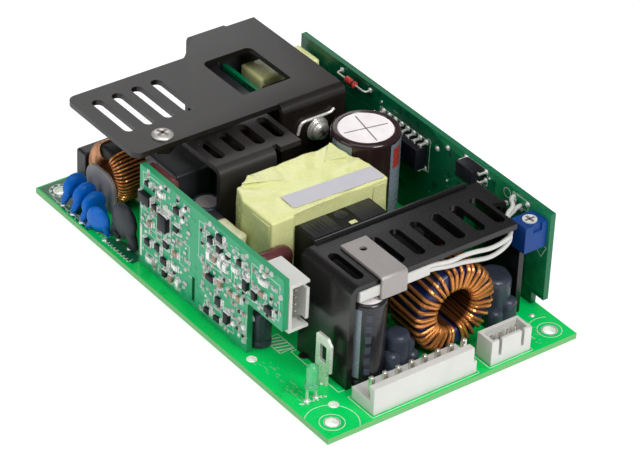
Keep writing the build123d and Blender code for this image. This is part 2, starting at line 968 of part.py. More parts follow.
line_angles = spread(90, line_span, line_turns) + spread(270, line_span, line_turns)
with BuildPart() as line_choke_winding:
    for angle in line_angles:
        with BuildSketch(ring_plane(line_centre, (0, 1, 0), angle, line_wire)):
            ring_turn(line_outer, line_inner, line_depth, line_wire)
    extrude(amount=line_wire)
line_choke_winding.part.label = "line_choke_winding"
export_step(line_choke_winding.part, "parts/line_choke_winding.step")

plate_top = deck + line_plate_height
with BuildPart() as line_choke_plate:
    with BuildSketch(upright(line_face)):
        with BuildSketch(mode=Mode.PRIVATE) as plate:
            Polygon(
                (line_x - line_plate_width / 2, deck),
                (line_x + line_plate_width / 2, deck),
                (line_x + line_plate_width / 2, plate_top),
                (line_x - line_plate_width / 2, plate_top),
                align=None,
            )
            fillet(plate.vertices().group_by(Axis.Y)[-1], line_plate_corner)
        add(plate.sketch)
    extrude(amount=line_plate_thickness)
line_choke_plate.part.label = "line_choke_plate"
export_step(line_choke_plate.part, "parts/line_choke_plate.step")

# Boost choke at the far corner
boost_split = boost_back + boost_tape_depth
with BuildPart() as boost_choke_winding:
    block((boost_back, boost_split), (boost_left, boost_right), (deck, boost_top))
    chamfer(boost_choke_winding.faces().sort_by(Axis.Z)[-1].edges(), winding_bevel)
boost_choke_winding.part.label = "boost_choke_winding"
export_step(boost_choke_winding.part, "parts/boost_choke_winding.step")

with BuildPart() as boost_choke_core:
    block((boost_split, boost_split + boost_core_depth), (boost_left, boost_right), (deck, boost_core_top))
boost_choke_core.part.label = "boost_choke_core"
export_step(boost_choke_core.part, "parts/boost_choke_core.step")

# Output choke: ring facing the output end, wound all the way round
ring_z = deck + ring_outer + ring_wire + seat_gap
ring_x = ring_front - ring_wire - seat_gap - ring_depth / 2
with BuildPart() as output_choke_core:
    with BuildSketch(across(ring_x - ring_depth / 2)):
        with Locations((ring_y, ring_z)):
            RegularPolygon(ring_outer, ring_turns)
            RegularPolygon(ring_inner, ring_turns, major_radius=False, mode=Mode.SUBTRACT)
    extrude(amount=ring_depth)
output_choke_core.part.label = "output_choke_core"
export_step(output_choke_core.part, "parts/output_choke_core.step")

ring_angles = [360 * k / ring_turns for k in range(ring_turns)]
with BuildPart() as output_choke_winding:
    for angle in ring_angles:
        with BuildSketch(ring_plane((ring_x, ring_y, ring_z), (1, 0, 0), angle, ring_wire)):
            ring_turn(ring_outer, ring_inner, ring_depth, ring_wire)
    extrude(amount=ring_wire)
output_choke_winding.part.label = "output_choke_winding"
export_step(output_choke_winding.part, "parts/output_choke_winding.step")

# Cans
bulk_y = feedback_inner - bulk_gap - bulk_diameter / 2
with BuildPart() as bulk_capacitor:
    with BuildSketch(level(deck)):
        with Locations((bulk_x, bulk_y)):
            Circle(bulk_diameter / 2)
    extrude(amount=bulk_height)
bulk_capacitor.part.label = "bulk_capacitor"
export_step(bulk_capacitor.part, "parts/bulk_capacitor.step")

with BuildPart() as supply_capacitor:
    with BuildSketch(level(deck)):
        with Locations((supply_x, supply_y)):
            Circle(supply_diameter / 2)
    extrude(amount=supply_height)
supply_capacitor.part.label = "supply_capacitor"
export_step(supply_capacitor.part, "parts/supply_capacitor.step")

small_can_y = control_inner + small_can_gap + small_can_diameter / 2
with BuildPart() as board_capacitor:
    with BuildSketch(level(deck)):
        with Locations((small_can_x, small_can_y)):
            Circle(small_can_diameter / 2)
    extrude(amount=small_can_height)
board_capacitor.part.label = "board_capacitor"
export_step(board_capacitor.part, "parts/board_capacitor.step")

tall_y = output_left + output_sheet + tall_gap + tall_diameter / 2
with BuildPart() as output_capacitor_tall:
    with BuildSketch(level(deck)):
        with Locations((tall_x, tall_y)):
            Circle(tall_diameter / 2)
    extrude(amount=tall_height)
output_capacitor_tall.part.label = "output_capacitor_tall"
export_step(output_capacitor_tall.part, "parts/output_capacitor_tall.step")

with BuildPart() as output_capacitor_low:
    with BuildSketch(level(deck)):
        with Locations(*[(x, low_y) for x in low_xs]):
            Circle(low_diameter / 2)
    extrude(amount=low_height)
output_capacitor_low.part.label = "output_capacitor_low"
export_step(output_capacitor_low.part, "parts/output_capacitor_low.step")

right_can_y = output_right - output_sheet - right_can_gap - right_can_diameter / 2
with BuildPart() as output_capacitor_right:
    with BuildSketch(level(deck)):
        with Locations((right_can_x, right_can_y)):
            Circle(right_can_diameter / 2)
    extrude(amount=right_can_height)
output_capacitor_right.part.label = "output_capacitor_right"
export_step(output_capacitor_right.part, "parts/output_capacitor_right.step")

# Dipped film capacitors on wire legs
film_a_y = control_inner + 0.4 + film_a_thickness / 2
film_a_x = film_a_left + film_a_length / 2
with BuildPart() as film_capacitor_a:
    with BuildSketch(level(film_a_low)):
        with Locations((film_a_x, film_a_y)):
            slot(film_a_length, film_a_thickness, Mode.ADD)
    extrude(amount=film_a_top - film_a_low)
    chamfer(film_capacitor_a.faces().sort_by(Axis.Z)[-1].edges(), film_bevel)
    for side in (-1, 1):
        x = film_a_x + side * film_a_length * 0.35
        block((x - lead / 2, x + lead / 2), (film_a_y - lead / 2, film_a_y + lead / 2), (deck, film_a_low))
film_capacitor_a.part.label = "film_capacitor_a"
export_step(film_capacitor_a.part, "parts/film_capacitor_a.step")

film_b_y = film_b_back - film_b_length / 2
with BuildPart() as film_capacitor_b:
    with BuildSketch(level(film_b_low)):
        with Locations(Location((film_b_x, film_b_y), 90)):
            slot(film_b_length, film_b_thickness, Mode.ADD)
    extrude(amount=film_b_top - film_b_low)
    chamfer(film_capacitor_b.faces().sort_by(Axis.Z)[-1].edges(), film_bevel)
    for side in (-1, 1):
        y = film_b_y + side * film_b_length * 0.24
        block((film_b_x - lead / 2, film_b_x + lead / 2), (y - lead / 2, y + lead / 2), (deck, film_b_low))
film_capacitor_b.part.label = "film_capacitor_b"
export_step(film_capacitor_b.part, "parts/film_capacitor_b.step")

# Box capacitors
with BuildPart() as x_capacitor:
    block((x_cap_back, x_cap_back + x_cap_depth), (x_cap_left, x_cap_right), (deck, x_cap_top))
    chamfer(x_capacitor.faces().sort_by(Axis.Z)[-1].edges(), box_bevel)
x_capacitor.part.label = "x_capacitor"
export_step(x_capacitor.part, "parts/x_capacitor.step")

with BuildPart() as filter_capacitor:
    block((filter_back, filter_front), (filter_left, filter_right), (deck, filter_top))
    chamfer(filter_capacitor.faces().sort_by(Axis.Z)[-1].edges(), box_bevel)
filter_capacitor.part.label = "filter_capacitor"
export_step(filter_capacitor.part, "parts/filter_capacitor.step")

# Four blue discs, three facing along the board and one facing its edge
with BuildPart() as disc_capacitors:
    for x, y, z in disc_centres:
        with BuildSketch(Plane(origin=(x, y, z), x_dir=(0, 1, 0), z_dir=(1, 0, 0))):
            RegularPolygon(disc_radius, disc_sides)
        extrude(amount=disc_thickness / 2, both=True)
        with BuildSketch(Plane(origin=(x, y, z), x_dir=(0, 1, 0), z_dir=(1, 0, 0))):
            leg_pair(disc_radius, z - deck, disc_foot)
        extrude(amount=leg_thickness / 2, both=True)
    front_facing = Vector(0, -1, 0).rotate(Axis.Z, front_disc_turn)
    front_along = Vector(1, 0, 0).rotate(Axis.Z, front_disc_turn)
    front_centre = (front_disc_x, front_disc_y, front_disc_z)
    front_plane = Plane(origin=front_centre, x_dir=front_along, z_dir=front_facing)
    with BuildSketch(front_plane):
        RegularPolygon(disc_radius, disc_sides)
    extrude(amount=front_disc_thickness / 2, both=True)
    with BuildSketch(front_plane):
        leg_pair(disc_radius, front_disc_z - deck, disc_foot)
    extrude(amount=leg_thickness / 2, both=True)
disc_capacitors.part.label = "disc_capacitors"
export_step(disc_capacitors.part, "parts/disc_capacitors.step")

# Black disc thermistor
thermistor_plane = Plane(origin=(thermistor_x, thermistor_y, thermistor_z), x_dir=(1, 0, 0), z_dir=(0, -1, 0))
with BuildPart() as thermistor:
    with BuildSketch(thermistor_plane):
        RegularPolygon(thermistor_radius, disc_sides)
    extrude(amount=thermistor_thickness / 2, both=True)
    with BuildSketch(thermistor_plane):
        leg_pair(thermistor_radius, thermistor_z - deck, thermistor_foot)
    extrude(amount=leg_thickness / 2, both=True)
thermistor.part.label = "thermistor"
export_step(thermistor.part, "parts/thermistor.step")

# Bridge rectifier on its leads
with BuildPart() as bridge_rectifier:
    bridge_back = bridge_front + bridge_thickness
    block((bridge_left, bridge_right), (bridge_front, bridge_back), (bridge_low, bridge_top))
    for k in range(4):
        x = bridge_left + (bridge_right - bridge_left) * (k + 0.5) / 4
        y = bridge_front + bridge_thickness / 2
        block((x - lead / 2, x + lead / 2), (y - lead / 2, y + lead / 2), (deck, bridge_low))
bridge_rectifier.part.label = "bridge_rectifier"
export_step(bridge_rectifier.part, "parts/bridge_rectifier.step")

# Sixteen pin package on the right board: upper and lower rows bend back to the board
dip_front = feedback_inner - dip_standoff - dip_depth
dip_back = feedback_inner - dip_standoff
dip_pin_y = (dip_front + dip_back) / 2
with BuildPart() as control_ic:
    block((dip_left, dip_left + dip_length), (dip_front, dip_back), (dip_low, dip_low + dip_height))
    for k in range(dip_pins):
        x = dip_left + dip_length / 2 + (k - (dip_pins - 1) / 2) * dip_pitch
        span = (x - 0.3, x + 0.3)
        high = dip_low + dip_height
        block(span, (dip_pin_y - 0.15, dip_pin_y + 0.15), (high, high + dip_reach))
        block(span, (dip_pin_y - 0.15, feedback_inner), (high + dip_reach - 0.3, high + dip_reach))
        block(span, (dip_pin_y - 0.15, dip_pin_y + 0.15), (dip_low - dip_reach, dip_low))
        block(span, (dip_pin_y - 0.15, feedback_inner), (dip_low - dip_reach, dip_low - dip_reach + 0.3))
control_ic.part.label = "control_ic"
export_step(control_ic.part, "parts/control_ic.step")

# Four pin package beside it, leads to both sides
opto_front = feedback_inner - dip_standoff - opto_depth
opto_back = feedback_inner - dip_standoff
opto_pin_y = (opto_front + opto_back) / 2
with BuildPart() as optocoupler:
    block(
        (opto_x - opto_length / 2, opto_x + opto_length / 2),
        (opto_front, opto_back),
        (opto_z - opto_height / 2, opto_z + opto_height / 2),
    )
    for side in (-1, 1):
        for k in (-0.5, 0.5):
            z = opto_z + k * opto_pitch
            inner = opto_x + side * opto_length / 2
            outer = inner + side * dip_reach
            edge = outer - side * 0.3
            rows = (z - 0.3, z + 0.3)
            block(sorted((inner, outer)), (opto_pin_y - 0.15, opto_pin_y + 0.15), rows)
            block(sorted((edge, outer)), (opto_pin_y - 0.15, feedback_inner), rows)
optocoupler.part.label = "optocoupler"
export_step(optocoupler.part, "parts/optocoupler.step")

# Glass diode standing off the board on its own leads
diode_y = feedback_inner - diode_standoff
with BuildPart() as glass_diode:
    with BuildSketch(across(diode_x - diode_length / 2)):
        with Locations((diode_y, diode_z)):
            RegularPolygon(diode_diameter / 2, 8)
    extrude(amount=diode_length)
    for side in (-1, 1):
        inner = diode_x + side * diode_length / 2
        outer = diode_x + side * diode_reach
        edge = outer - side * led_wire
        rows = (diode_z - led_wire / 2, diode_z + led_wire / 2)
        block(sorted((inner, outer)), (diode_y - led_wire / 2, diode_y + led_wire / 2), rows)
        block(sorted((edge, outer)), (diode_y - led_wire / 2, feedback_inner), rows)
glass_diode.part.label = "glass_diode"
export_step(glass_diode.part, "parts/glass_diode.step")

# Trimmer: body on the right board, with a bore for the rotor and a recess on the end face
trimmer_front = trimmer_back + trimmer_length
trimmer_x = trimmer_back + trimmer_length / 2
trimmer_near = feedback_inner - trimmer_width
trimmer_y = feedback_inner - trimmer_width / 2
with BuildPart() as trimmer_body:
    block((trimmer_back, trimmer_front), (trimmer_near, feedback_inner), (trimmer_low, trimmer_top))
    with BuildSketch(level(trimmer_top)):
        with Locations((trimmer_x, trimmer_y)):
            Circle(trimmer_bore / 2)
    extrude(amount=-trimmer_depth, mode=Mode.SUBTRACT)
    block(
        (trimmer_front - trimmer_recess, trimmer_front),
        (trimmer_near + trimmer_width * 0.35, trimmer_near + trimmer_width * 0.75),
        (trimmer_top - 2.2, trimmer_top),
        mode=Mode.SUBTRACT,
    )
trimmer_body.part.label = "trimmer_body"
export_step(trimmer_body.part, "parts/trimmer_body.step")

rotor_top = trimmer_top + rotor_rise
with BuildPart() as trimmer_rotor:
    with BuildSketch(level(trimmer_top - trimmer_depth)):
        with Locations((trimmer_x, trimmer_y)):
            Circle(trimmer_bore / 2 - rotor_clearance)
    extrude(amount=trimmer_depth + rotor_rise)
    with BuildSketch(level(rotor_top)):
        with Locations((trimmer_x, trimmer_y)):
            Rectangle(trimmer_bore * 0.8, rotor_slot)
            Rectangle(rotor_slot, trimmer_bore * 0.8)
    extrude(amount=-rotor_slot_depth, mode=Mode.SUBTRACT)
trimmer_rotor.part.label = "trimmer_rotor"
export_step(trimmer_rotor.part, "parts/trimmer_rotor.step")

# Lamp
led_top = led_flange_height + led_body
with BuildPart() as led_lens:
    with BuildSketch(level(led_low)):
        with Locations((led_x, led_y)):
            RegularPolygon(led_flange / 2, 12)
    extrude(amount=led_flange_height)
    with BuildSketch(level(led_low)):
        with Locations((led_x, led_y)):
            RegularPolygon(led_diameter / 2, 12)
    extrude(amount=led_top)
    chamfer(led_lens.faces().sort_by(Axis.Z)[-1].edges(), led_diameter * 0.25)
led_lens.part.label = "led_lens"
export_step(led_lens.part, "parts/led_lens.step")

with BuildPart() as led_leads:
    for side in (-1, 1):
        y = led_y + side * led_pitch / 2
        block(
            (led_x - led_wire / 2, led_x + led_wire / 2),
            (y - led_wire / 2, y + led_wire / 2),
            (deck, led_low),
        )
led_leads.part.label = "led_leads"
export_step(led_leads.part, "parts/led_leads.step")

# Output header: base, locking wall and square pins through the base
header_left = header_first - header_margin
header_right = header_first + (header_pins - 1) * header_pitch + header_margin
header_ys = [header_first + k * header_pitch for k in range(header_pins)]
with BuildPart() as output_header:
    with BuildSketch(level(deck)):
        Polygon(
            (header_back, header_left),
            (header_front, header_left),
            (header_front, header_right),
            (header_back, header_right),
            align=None,
        )
        for y in header_ys:
            with Locations((header_pin_x, y)):
                Rectangle(header_pin, header_pin, mode=Mode.SUBTRACT)
    extrude(amount=header_base - deck)
    with BuildSketch(upright(header_right - 1.0)):
        Polygon(
            (header_front - header_wall, header_base),
            (header_front, header_base),
            (header_front, header_wall_top),
            (header_front - header_wall - 0.5, header_wall_top),
            (header_front - header_wall - 0.5, header_wall_top - 0.9),
            (header_front - header_wall, header_wall_top - 1.6),
            align=None,
        )
    extrude(amount=header_right - header_left - 1.0)
output_header.part.label = "output_header"
export_step(output_header.part, "parts/output_header.step")

with BuildPart() as output_header_pins:
    with BuildSketch(level(deck)):
        for y in header_ys:
            with Locations((header_pin_x, y)):
                Rectangle(header_pin, header_pin)
    extrude(amount=header_pin_top - deck)
    chamfer(output_header_pins.faces().group_by(Axis.Z)[-1].edges(), header_pin * 0.25)
output_header_pins.part.label = "output_header_pins"
export_step(output_header_pins.part, "parts/output_header_pins.step")

# Signal header: open box with two slits in the front wall
signal_mid = (signal_left + signal_right) / 2
signal_x = (signal_back + signal_front) / 2 - 0.4
signal_ys = [signal_mid + (k - (signal_pins - 1) / 2) * signal_pitch for k in range(signal_pins)]
with BuildPart() as signal_header:
    block((signal_back, signal_front), (signal_left, signal_right), (deck, signal_top))
    block(
        (signal_back + signal_wall, signal_front - signal_wall),
        (signal_left + signal_wall, signal_right - signal_wall),
        (deck + signal_floor, signal_top),
        mode=Mode.SUBTRACT,
    )
    for y in (signal_mid - signal_pitch * 1.4, signal_mid + signal_pitch * 1.4):
        block(
            (signal_front - signal_wall, signal_front),
            (y - signal_slit / 2, y + signal_slit / 2),
            (deck + signal_floor, signal_top),
            mode=Mode.SUBTRACT,
        )
    for y in signal_ys:
        block(
            (signal_x - signal_pin / 2, signal_x + signal_pin / 2),
            (y - signal_pin / 2, y + signal_pin / 2),
            (deck, deck + signal_floor),
            mode=Mode.SUBTRACT,
        )
signal_header.part.label = "signal_header"
export_step(signal_header.part, "parts/signal_header.step")

with BuildPart() as signal_header_pins:
    for y in signal_ys:
        block(
            (signal_x - signal_pin / 2, signal_x + signal_pin / 2),
            (y - signal_pin / 2, y + signal_pin / 2),
            (deck, signal_pin_top),
        )
signal_header_pins.part.label = "signal_header_pins"
export_step(signal_header_pins.part, "parts/signal_header_pins.step")

# White box on the back of the control board, open toward the output end
side_far = control_inner + side_width
side_mid = (side_low + side_top) / 2
side_zs = [side_mid + (k - (side_pins - 1) / 2) * side_pitch for k in range(side_pins)]
side_pin_y = control_inner + side_width / 2
with BuildPart() as side_connector:
    block((side_back, side_front), (control_inner, side_far), (side_low, side_top))
    block(
        (side_back + side_floor, side_front),
        (control_inner + side_wall, side_far - side_wall),
        (side_low + side_wall, side_top - side_wall),
        mode=Mode.SUBTRACT,
    )
    for z in (side_low + side_notch, side_top - side_notch):
        block(
            (side_front - side_notch * 2, side_front),
            (side_far - side_wall, side_far),
            (z - side_notch / 2, z + side_notch / 2),
            mode=Mode.SUBTRACT,
        )
side_connector.part.label = "side_connector"
export_step(side_connector.part, "parts/side_connector.step")

with BuildPart() as side_connector_pins:
    for z in side_zs:
        block(
            (side_back + side_floor, side_pin_end),
            (side_pin_y - signal_pin / 2, side_pin_y + signal_pin / 2),
            (z - signal_pin / 2, z + signal_pin / 2),
        )
side_connector_pins.part.label = "side_connector_pins"
export_step(side_connector_pins.part, "parts/side_connector_pins.step")

# Input header under the heat sink, the same family as the output header
input_width = header_front - header_back
input_right = input_left + 2 * header_margin + (input_pins - 1) * input_pitch
input_pin_x = input_back + header_front - header_pin_x
input_ys = [input_left + header_margin + k * input_pitch for k in range(input_pins)]
with BuildPart() as input_header:
    with BuildSketch(level(deck)):
        Polygon(
            (input_back, input_left),
            (input_back + input_width, input_left),
            (input_back + input_width, input_right),
            (input_back, input_right),
            align=None,
        )
        for y in input_ys:
            with Locations((input_pin_x, y)):
                Rectangle(header_pin, header_pin, mode=Mode.SUBTRACT)
    extrude(amount=header_base - deck)
    block((input_back, input_back + header_wall), (input_left, input_right), (header_base, header_wall_top))
input_header.part.label = "input_header"
export_step(input_header.part, "parts/input_header.step")

with BuildPart() as input_header_pins:
    with BuildSketch(level(deck)):
        for y in input_ys:
            with Locations((input_pin_x, y)):
                Rectangle(header_pin, header_pin)
    extrude(amount=header_pin_top - deck)
input_header_pins.part.label = "input_header_pins"
export_step(input_header_pins.part, "parts/input_header_pins.step")

# Trimmed leads in solder under the board, all one length so that it can lie level
lead_points = [(header_pin_x, y) for y in header_ys]
lead_points += [(signal_x, y) for y in signal_ys]
lead_points += [(input_pin_x, y) for y in input_ys]
lead_points += [(bulk_x, bulk_y - 3.75), (bulk_x, bulk_y + 3.75)]
lead_points += [(tall_x, tall_y - 2.5), (tall_x, tall_y + 2.5)]
lead_points += [(right_can_x, right_can_y - 1.75), (right_can_x, right_can_y + 1.75)]
lead_points += [(supply_x, supply_y - 2.5), (supply_x, supply_y + 2.5)]
lead_points += [(tab_mid, tab_y), (led_x, led_y - 1.6), (led_x, led_y + 1.6)]
lead_points += [(line_x - 4, line_y), (line_x + 4, line_y)]
lead_points += spare_leads
with BuildPart() as solder_joints:
    with BuildSketch(Plane.XY):
        with Locations(*lead_points):
            RegularPolygon(solder_radius, 6)
    extrude(amount=-solder_height)
solder_joints.part.label = "solder_joints"
export_step(solder_joints.part, "parts/solder_joints.step")
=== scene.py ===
import math
import random

import bmesh
import bpy
from mathutils import Matrix, Vector, noise
from mathutils.geometry import tessellate_polygon


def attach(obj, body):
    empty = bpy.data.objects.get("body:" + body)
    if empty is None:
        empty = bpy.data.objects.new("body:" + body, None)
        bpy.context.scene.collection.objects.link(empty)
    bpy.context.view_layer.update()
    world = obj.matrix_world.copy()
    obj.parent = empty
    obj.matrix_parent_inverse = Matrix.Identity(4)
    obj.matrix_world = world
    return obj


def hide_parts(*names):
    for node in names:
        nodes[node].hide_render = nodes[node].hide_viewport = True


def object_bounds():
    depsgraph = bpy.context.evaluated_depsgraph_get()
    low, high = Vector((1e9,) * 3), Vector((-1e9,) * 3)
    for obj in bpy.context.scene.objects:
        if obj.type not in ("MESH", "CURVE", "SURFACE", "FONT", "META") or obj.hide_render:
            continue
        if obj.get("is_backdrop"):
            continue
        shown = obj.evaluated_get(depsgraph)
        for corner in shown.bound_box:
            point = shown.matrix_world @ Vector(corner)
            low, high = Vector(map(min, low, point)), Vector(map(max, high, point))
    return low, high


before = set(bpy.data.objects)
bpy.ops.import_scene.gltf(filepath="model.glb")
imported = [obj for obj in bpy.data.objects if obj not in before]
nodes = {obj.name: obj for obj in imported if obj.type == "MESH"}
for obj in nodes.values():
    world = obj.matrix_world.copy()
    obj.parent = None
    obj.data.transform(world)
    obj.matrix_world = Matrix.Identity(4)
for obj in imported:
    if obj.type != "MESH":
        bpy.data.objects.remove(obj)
cad_low, cad_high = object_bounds()
scene = bpy.context.scene
rng = random.Random(11)
noise.seed_set(11)

# Everything below is in millimetres and becomes metres when a piece is made
MM = 0.001
DECK = 1.6
PRINT = 0.03
CONTROL_FACE = -34.3
CONTROL_BACK = -32.7
RIGHT_FACE = 36.5
RIGHT_BACK = 38.1
PRIMARY_TOP = 35.0
RECTIFIER_TOP = 30.0
OUTPUT_TOP = 31.0
ARM_SCREW = (-23.6, -26.0)
FLANGE_SCREW = (-17.6, 17.6, 25.0)
TRIMMER = (48.25, 33.05)
OUTPUT_RING = (46.65, 8.0, 13.95)
LINE_RING = (-48.0, -22.35, 10.25)
BULK_CAN = (-3.1, 21.9)
TALL_CAN = (48.2, -16.3)
PIN_PITCH = 2.54
PACKAGE_X = -5.45
COUPLER = (23.2, 28.3)
DIODE = Vector((-26.3, 34.7, 28.6))
LAMP = (48.6, -32.0)
MOUNTS = [(x, y) for x in (-58.7375, 58.7375) for y in (-33.3375, 33.3375)]
SMALL_HOLES = [(53.4, -28.9), (28.0, -34.6)]


def add_object(name, data):
    """A new object in the scene."""
    made = bpy.data.objects.new(name, data)
    scene.collection.objects.link(made)
    return made


# Camera, from the corners of the boards and heat sinks in the photograph
camera_place = Vector((0.5216, -0.40178, 0.45891))
camera_right = Vector((0.594824, 0.802928, 0.038625))
camera_up = Vector((-0.472109, 0.31005, 0.825216))
camera_back = Vector((0.650613, -0.509093, 0.563495))
camera_data = bpy.data.cameras.new("camera")
camera_data.sensor_fit = "HORIZONTAL"
camera_data.sensor_width = 36.0
camera_data.lens = 178.64
camera_data.clip_start = 0.01
camera = add_object("camera", camera_data)
facing = Matrix((camera_right, camera_up, camera_back)).transposed().to_4x4()
camera.matrix_world = Matrix.Translation(camera_place) @ facing
scene.camera = camera

# Materials


def node_tree(name):
    """A new node material with its tree and shader."""
    made = bpy.data.materials.new(name)
    made.use_nodes = True
    tree = made.node_tree
    return made, tree, tree.nodes["Principled BSDF"]


def put(node, **values):
    """Constant values on a node's sockets; an underscore stands for a space in a socket's name."""
    for name, value in values.items():
        node.inputs[name.replace("_", " ")].default_value = value


def add_node(tree, kind, vector=None, **values):
    """A new shader node with constant values, read at a place if one is given."""
    made = tree.nodes.new("ShaderNode" + kind)
    put(made, **values)
    if vector is not None:
        tree.links.new(vector, made.inputs["Vector"])
    return made


def add_noise(tree, scale, detail=3.0, stretch=None):
    """Noise in the part's own coordinates, and its output."""
    where = add_node(tree, "TexCoord").outputs["Object"]
    if stretch:
        where = add_node(tree, "Mapping", where, Scale=stretch).outputs["Vector"]
    return add_node(tree, "TexNoise", where, Scale=scale, Detail=detail).outputs["Fac"]


def add_range(tree, source, low, high, start=0.3, end=0.7):
    """A factor remapped between two values."""
    made = add_node(tree, "MapRange", From_Min=start, From_Max=end, To_Min=low, To_Max=high)
    tree.links.new(source, made.inputs["Value"])
    return made.outputs["Result"]


def add_mix(tree, factor, first, second):
    """Two colours mixed by a factor; each colour is a triple or an output."""
    made = add_node(tree, "Mix")
    made.data_type = "RGBA"
    tree.links.new(factor, made.inputs["Factor"])
    for name, colour in (("A", first), ("B", second)):
        socket = [s for s in made.inputs if s.name == name and s.type == "RGBA"][0]
        if isinstance(colour, tuple):
            socket.default_value = (*colour, 1.0)
        else:
            tree.links.new(colour, socket)
    return [s for s in made.outputs if s.type == "RGBA"][0]


def add_math(tree, operation, *sources):
    """A math node on one or two outputs."""
    made = add_node(tree, "Math")
    made.operation = operation
    for source, socket in zip(sources, made.inputs):
        tree.links.new(source, socket)
    return made.outputs[0]


def add_bump(tree, shader, height, strength, distance):
    """A bump on the shader's normal."""
    made = add_node(tree, "Bump", Strength=strength, Distance=distance * MM)
    tree.links.new(height, made.inputs["Height"])
    tree.links.new(made.outputs["Normal"], shader.inputs["Normal"])


def surface(name, colour, rough, vary, grain, bump, fine, metal=0.0, depth=0.05, spec=0.5, **extra):
    """A material with mottled colour, uneven gloss and fine relief."""
    made, tree, shader = node_tree(name)
    stretch = extra.get("stretch")
    spread = extra.get("spread", 0.08)
    coarse = add_range(tree, add_noise(tree, grain, 4.0, stretch), 0, 1)
    dark = tuple(c * (1 - vary) for c in colour)
    light = tuple(min(1.0, c * (1 + vary)) for c in colour)
    tree.links.new(add_mix(tree, coarse, dark, light), shader.inputs["Base Color"])
    detail = add_noise(tree, fine, 2.0, stretch)
    tree.links.new(add_range(tree, detail, rough - spread, rough + spread), shader.inputs["Roughness"])
    add_bump(tree, shader, detail, bump, depth)
    put(shader, Metallic=metal, Specular_IOR_Level=spec, Transmission_Weight=extra.get("clear", 0.0))
    if "sss" in extra:
        put(shader, Subsurface_Weight=extra["sss"], Subsurface_Radius=colour, Subsurface_Scale=1.5 * MM)
    return made


def add_cells(tree, distance, scale):
    """Cells in the part's own coordinates."""
    where = add_node(tree, "TexCoord").outputs["Object"]
    made = add_node(tree, "TexVoronoi", where, Scale=scale)
    made.distance = distance
    return made


def laminate(name, mask, copper, edge, cell, rough=0.3, across="Y"):
    """Solder mask over copper areas and tracks, with bare laminate at the cut edges."""
    made, tree, shader = node_tree(name)
    areas = add_node(tree, "SeparateColor")
    tree.links.new(add_cells(tree, "CHEBYCHEV", cell).outputs["Color"], areas.inputs["Color"])
    poured = add_range(tree, areas.outputs["Red"], 0, 1, 0.45, 0.47)
    tracks = add_cells(tree, "MANHATTAN", cell * 2.3).outputs["Distance"]
    level = add_math(tree, "MAXIMUM", poured, add_range(tree, tracks, 0, 1, 0.5, 0.53))
    face = add_mix(tree, level, mask, copper)
    cloud = add_range(tree, add_noise(tree, 60.0), 0, 0.35)
    face = add_mix(tree, cloud, face, tuple(c * 0.8 for c in mask))
    normal = add_node(tree, "NewGeometry").outputs["Normal"]
    axes = add_node(tree, "SeparateXYZ", normal)
    cut = add_range(tree, add_math(tree, "ABSOLUTE", axes.outputs[across]), 1, 0, 0.45, 0.55)
    tree.links.new(add_mix(tree, cut, face, edge), shader.inputs["Base Color"])
    weave = add_noise(tree, 2600.0, 1.0)
    tree.links.new(add_range(tree, weave, rough - 0.05, rough + 0.07), shader.inputs["Roughness"])
    put(shader, Specular_IOR_Level=0.35)
    add_bump(tree, shader, level, 0.25, 0.04)
    return made


pcb_green = laminate("pcb_green", (0, 0.57, 0.10), (0, 0.66, 0.125), (0.13, 0.42, 0.13), 70, across="Z")
board_teal = laminate("board_teal", (0.014, 0.34, 0.15), (0.032, 0.42, 0.195), (0.02, 0.28, 0.12), 190, 0.4)
board_dark = laminate("board_dark", (0, 0.07, 0.03), (0, 0.14, 0.06), (0, 0.13, 0.05), 170)
sink = surface("sink_satin", (0.009, 0.0066, 0.0056), 0.34, 0.12, 90, 0.10, 5200, depth=0.03)
sink_gloss = surface("sink_gloss", (0.006, 0.0055, 0.0055), 0.24, 0.15, 90, 0.03, 5200, depth=0.03)
# A lighter copy of the sink finish for the rectifier sink: painted sheen
sink_painted_sheen = surface("sink_painted_sheen", (0.027, 0.024, 0.023), 0.36, 0.15, 90, 0.08, 5200, depth=0.03)
tape = surface("tape_yellow", (0.76, 0.78, 0.36), 0.25, 0.04, 120, 0.04, 900, sss=0.15, depth=0.1)
tape_pale = surface("tape_pale", (0.66, 0.65, 0.42), 0.3, 0.08, 200, 0.1, 900, sss=0.3, depth=0.1)
ferrite = surface("ferrite", (0.007, 0.0065, 0.0065), 0.5, 0.3, 500, 0.3, 2400, spec=0.25)
copper = surface("copper", (0.62, 0.25, 0.068), 0.24, 0.08, 200, 0.0, 1500, metal=0.7, spread=0.03)
# Darker copper for the turns inside the output choke's hole: painted shade
copper_painted_shade = surface(
    "copper_painted_shade", (0.14, 0.05, 0.015), 0.35, 0.15, 300, 0.0, 1500, metal=0.5, spread=0.03
)
copper_fine = surface("copper_fine", (0.60, 0.30, 0.15), 0.32, 0.15, 300, 0.05, 2600, metal=0.5, depth=0.05)
core_blue = surface("core_blue", (0.006, 0.016, 0.085), 0.35, 0.2, 300, 0.1, 2000)
white_plastic = surface("white_plastic", (0.62, 0.62, 0.59), 0.38, 0.03, 150, 0.05, 2500, sss=0.12)
white_sensor = surface("white_sensor", (0.58, 0.575, 0.55), 0.45, 0.03, 200, 0.03, 1800)
paper = surface("label_white", (0.55, 0.54, 0.58), 0.55, 0.02, 300, 0.06, 4000)
pin_bright = surface("pin_bright", (0.78, 0.75, 0.66), 0.2, 0.04, 400, 0.0, 2500, metal=0.85, spread=0.03)
tinned = surface("tinned", (0.78, 0.76, 0.72), 0.30, 0.06, 400, 0.02, 2500, metal=0.5, spread=0.05)
steel = surface("steel_bright", (0.70, 0.68, 0.64), 0.32, 0.08, 300, 0.03, 3000, metal=0.6, spread=0.04)
clip_grey = surface(
    "clip_grey", (0.36, 0.335, 0.325), 0.46, 0.05, 300, 0.12, 6000, metal=0.3, stretch=(1, 8, 1)
)
can_metal = surface("can_metal", (0.95, 0.89, 0.89), 0.5, 0.06, 250, 0.12, 3000, metal=0.05)
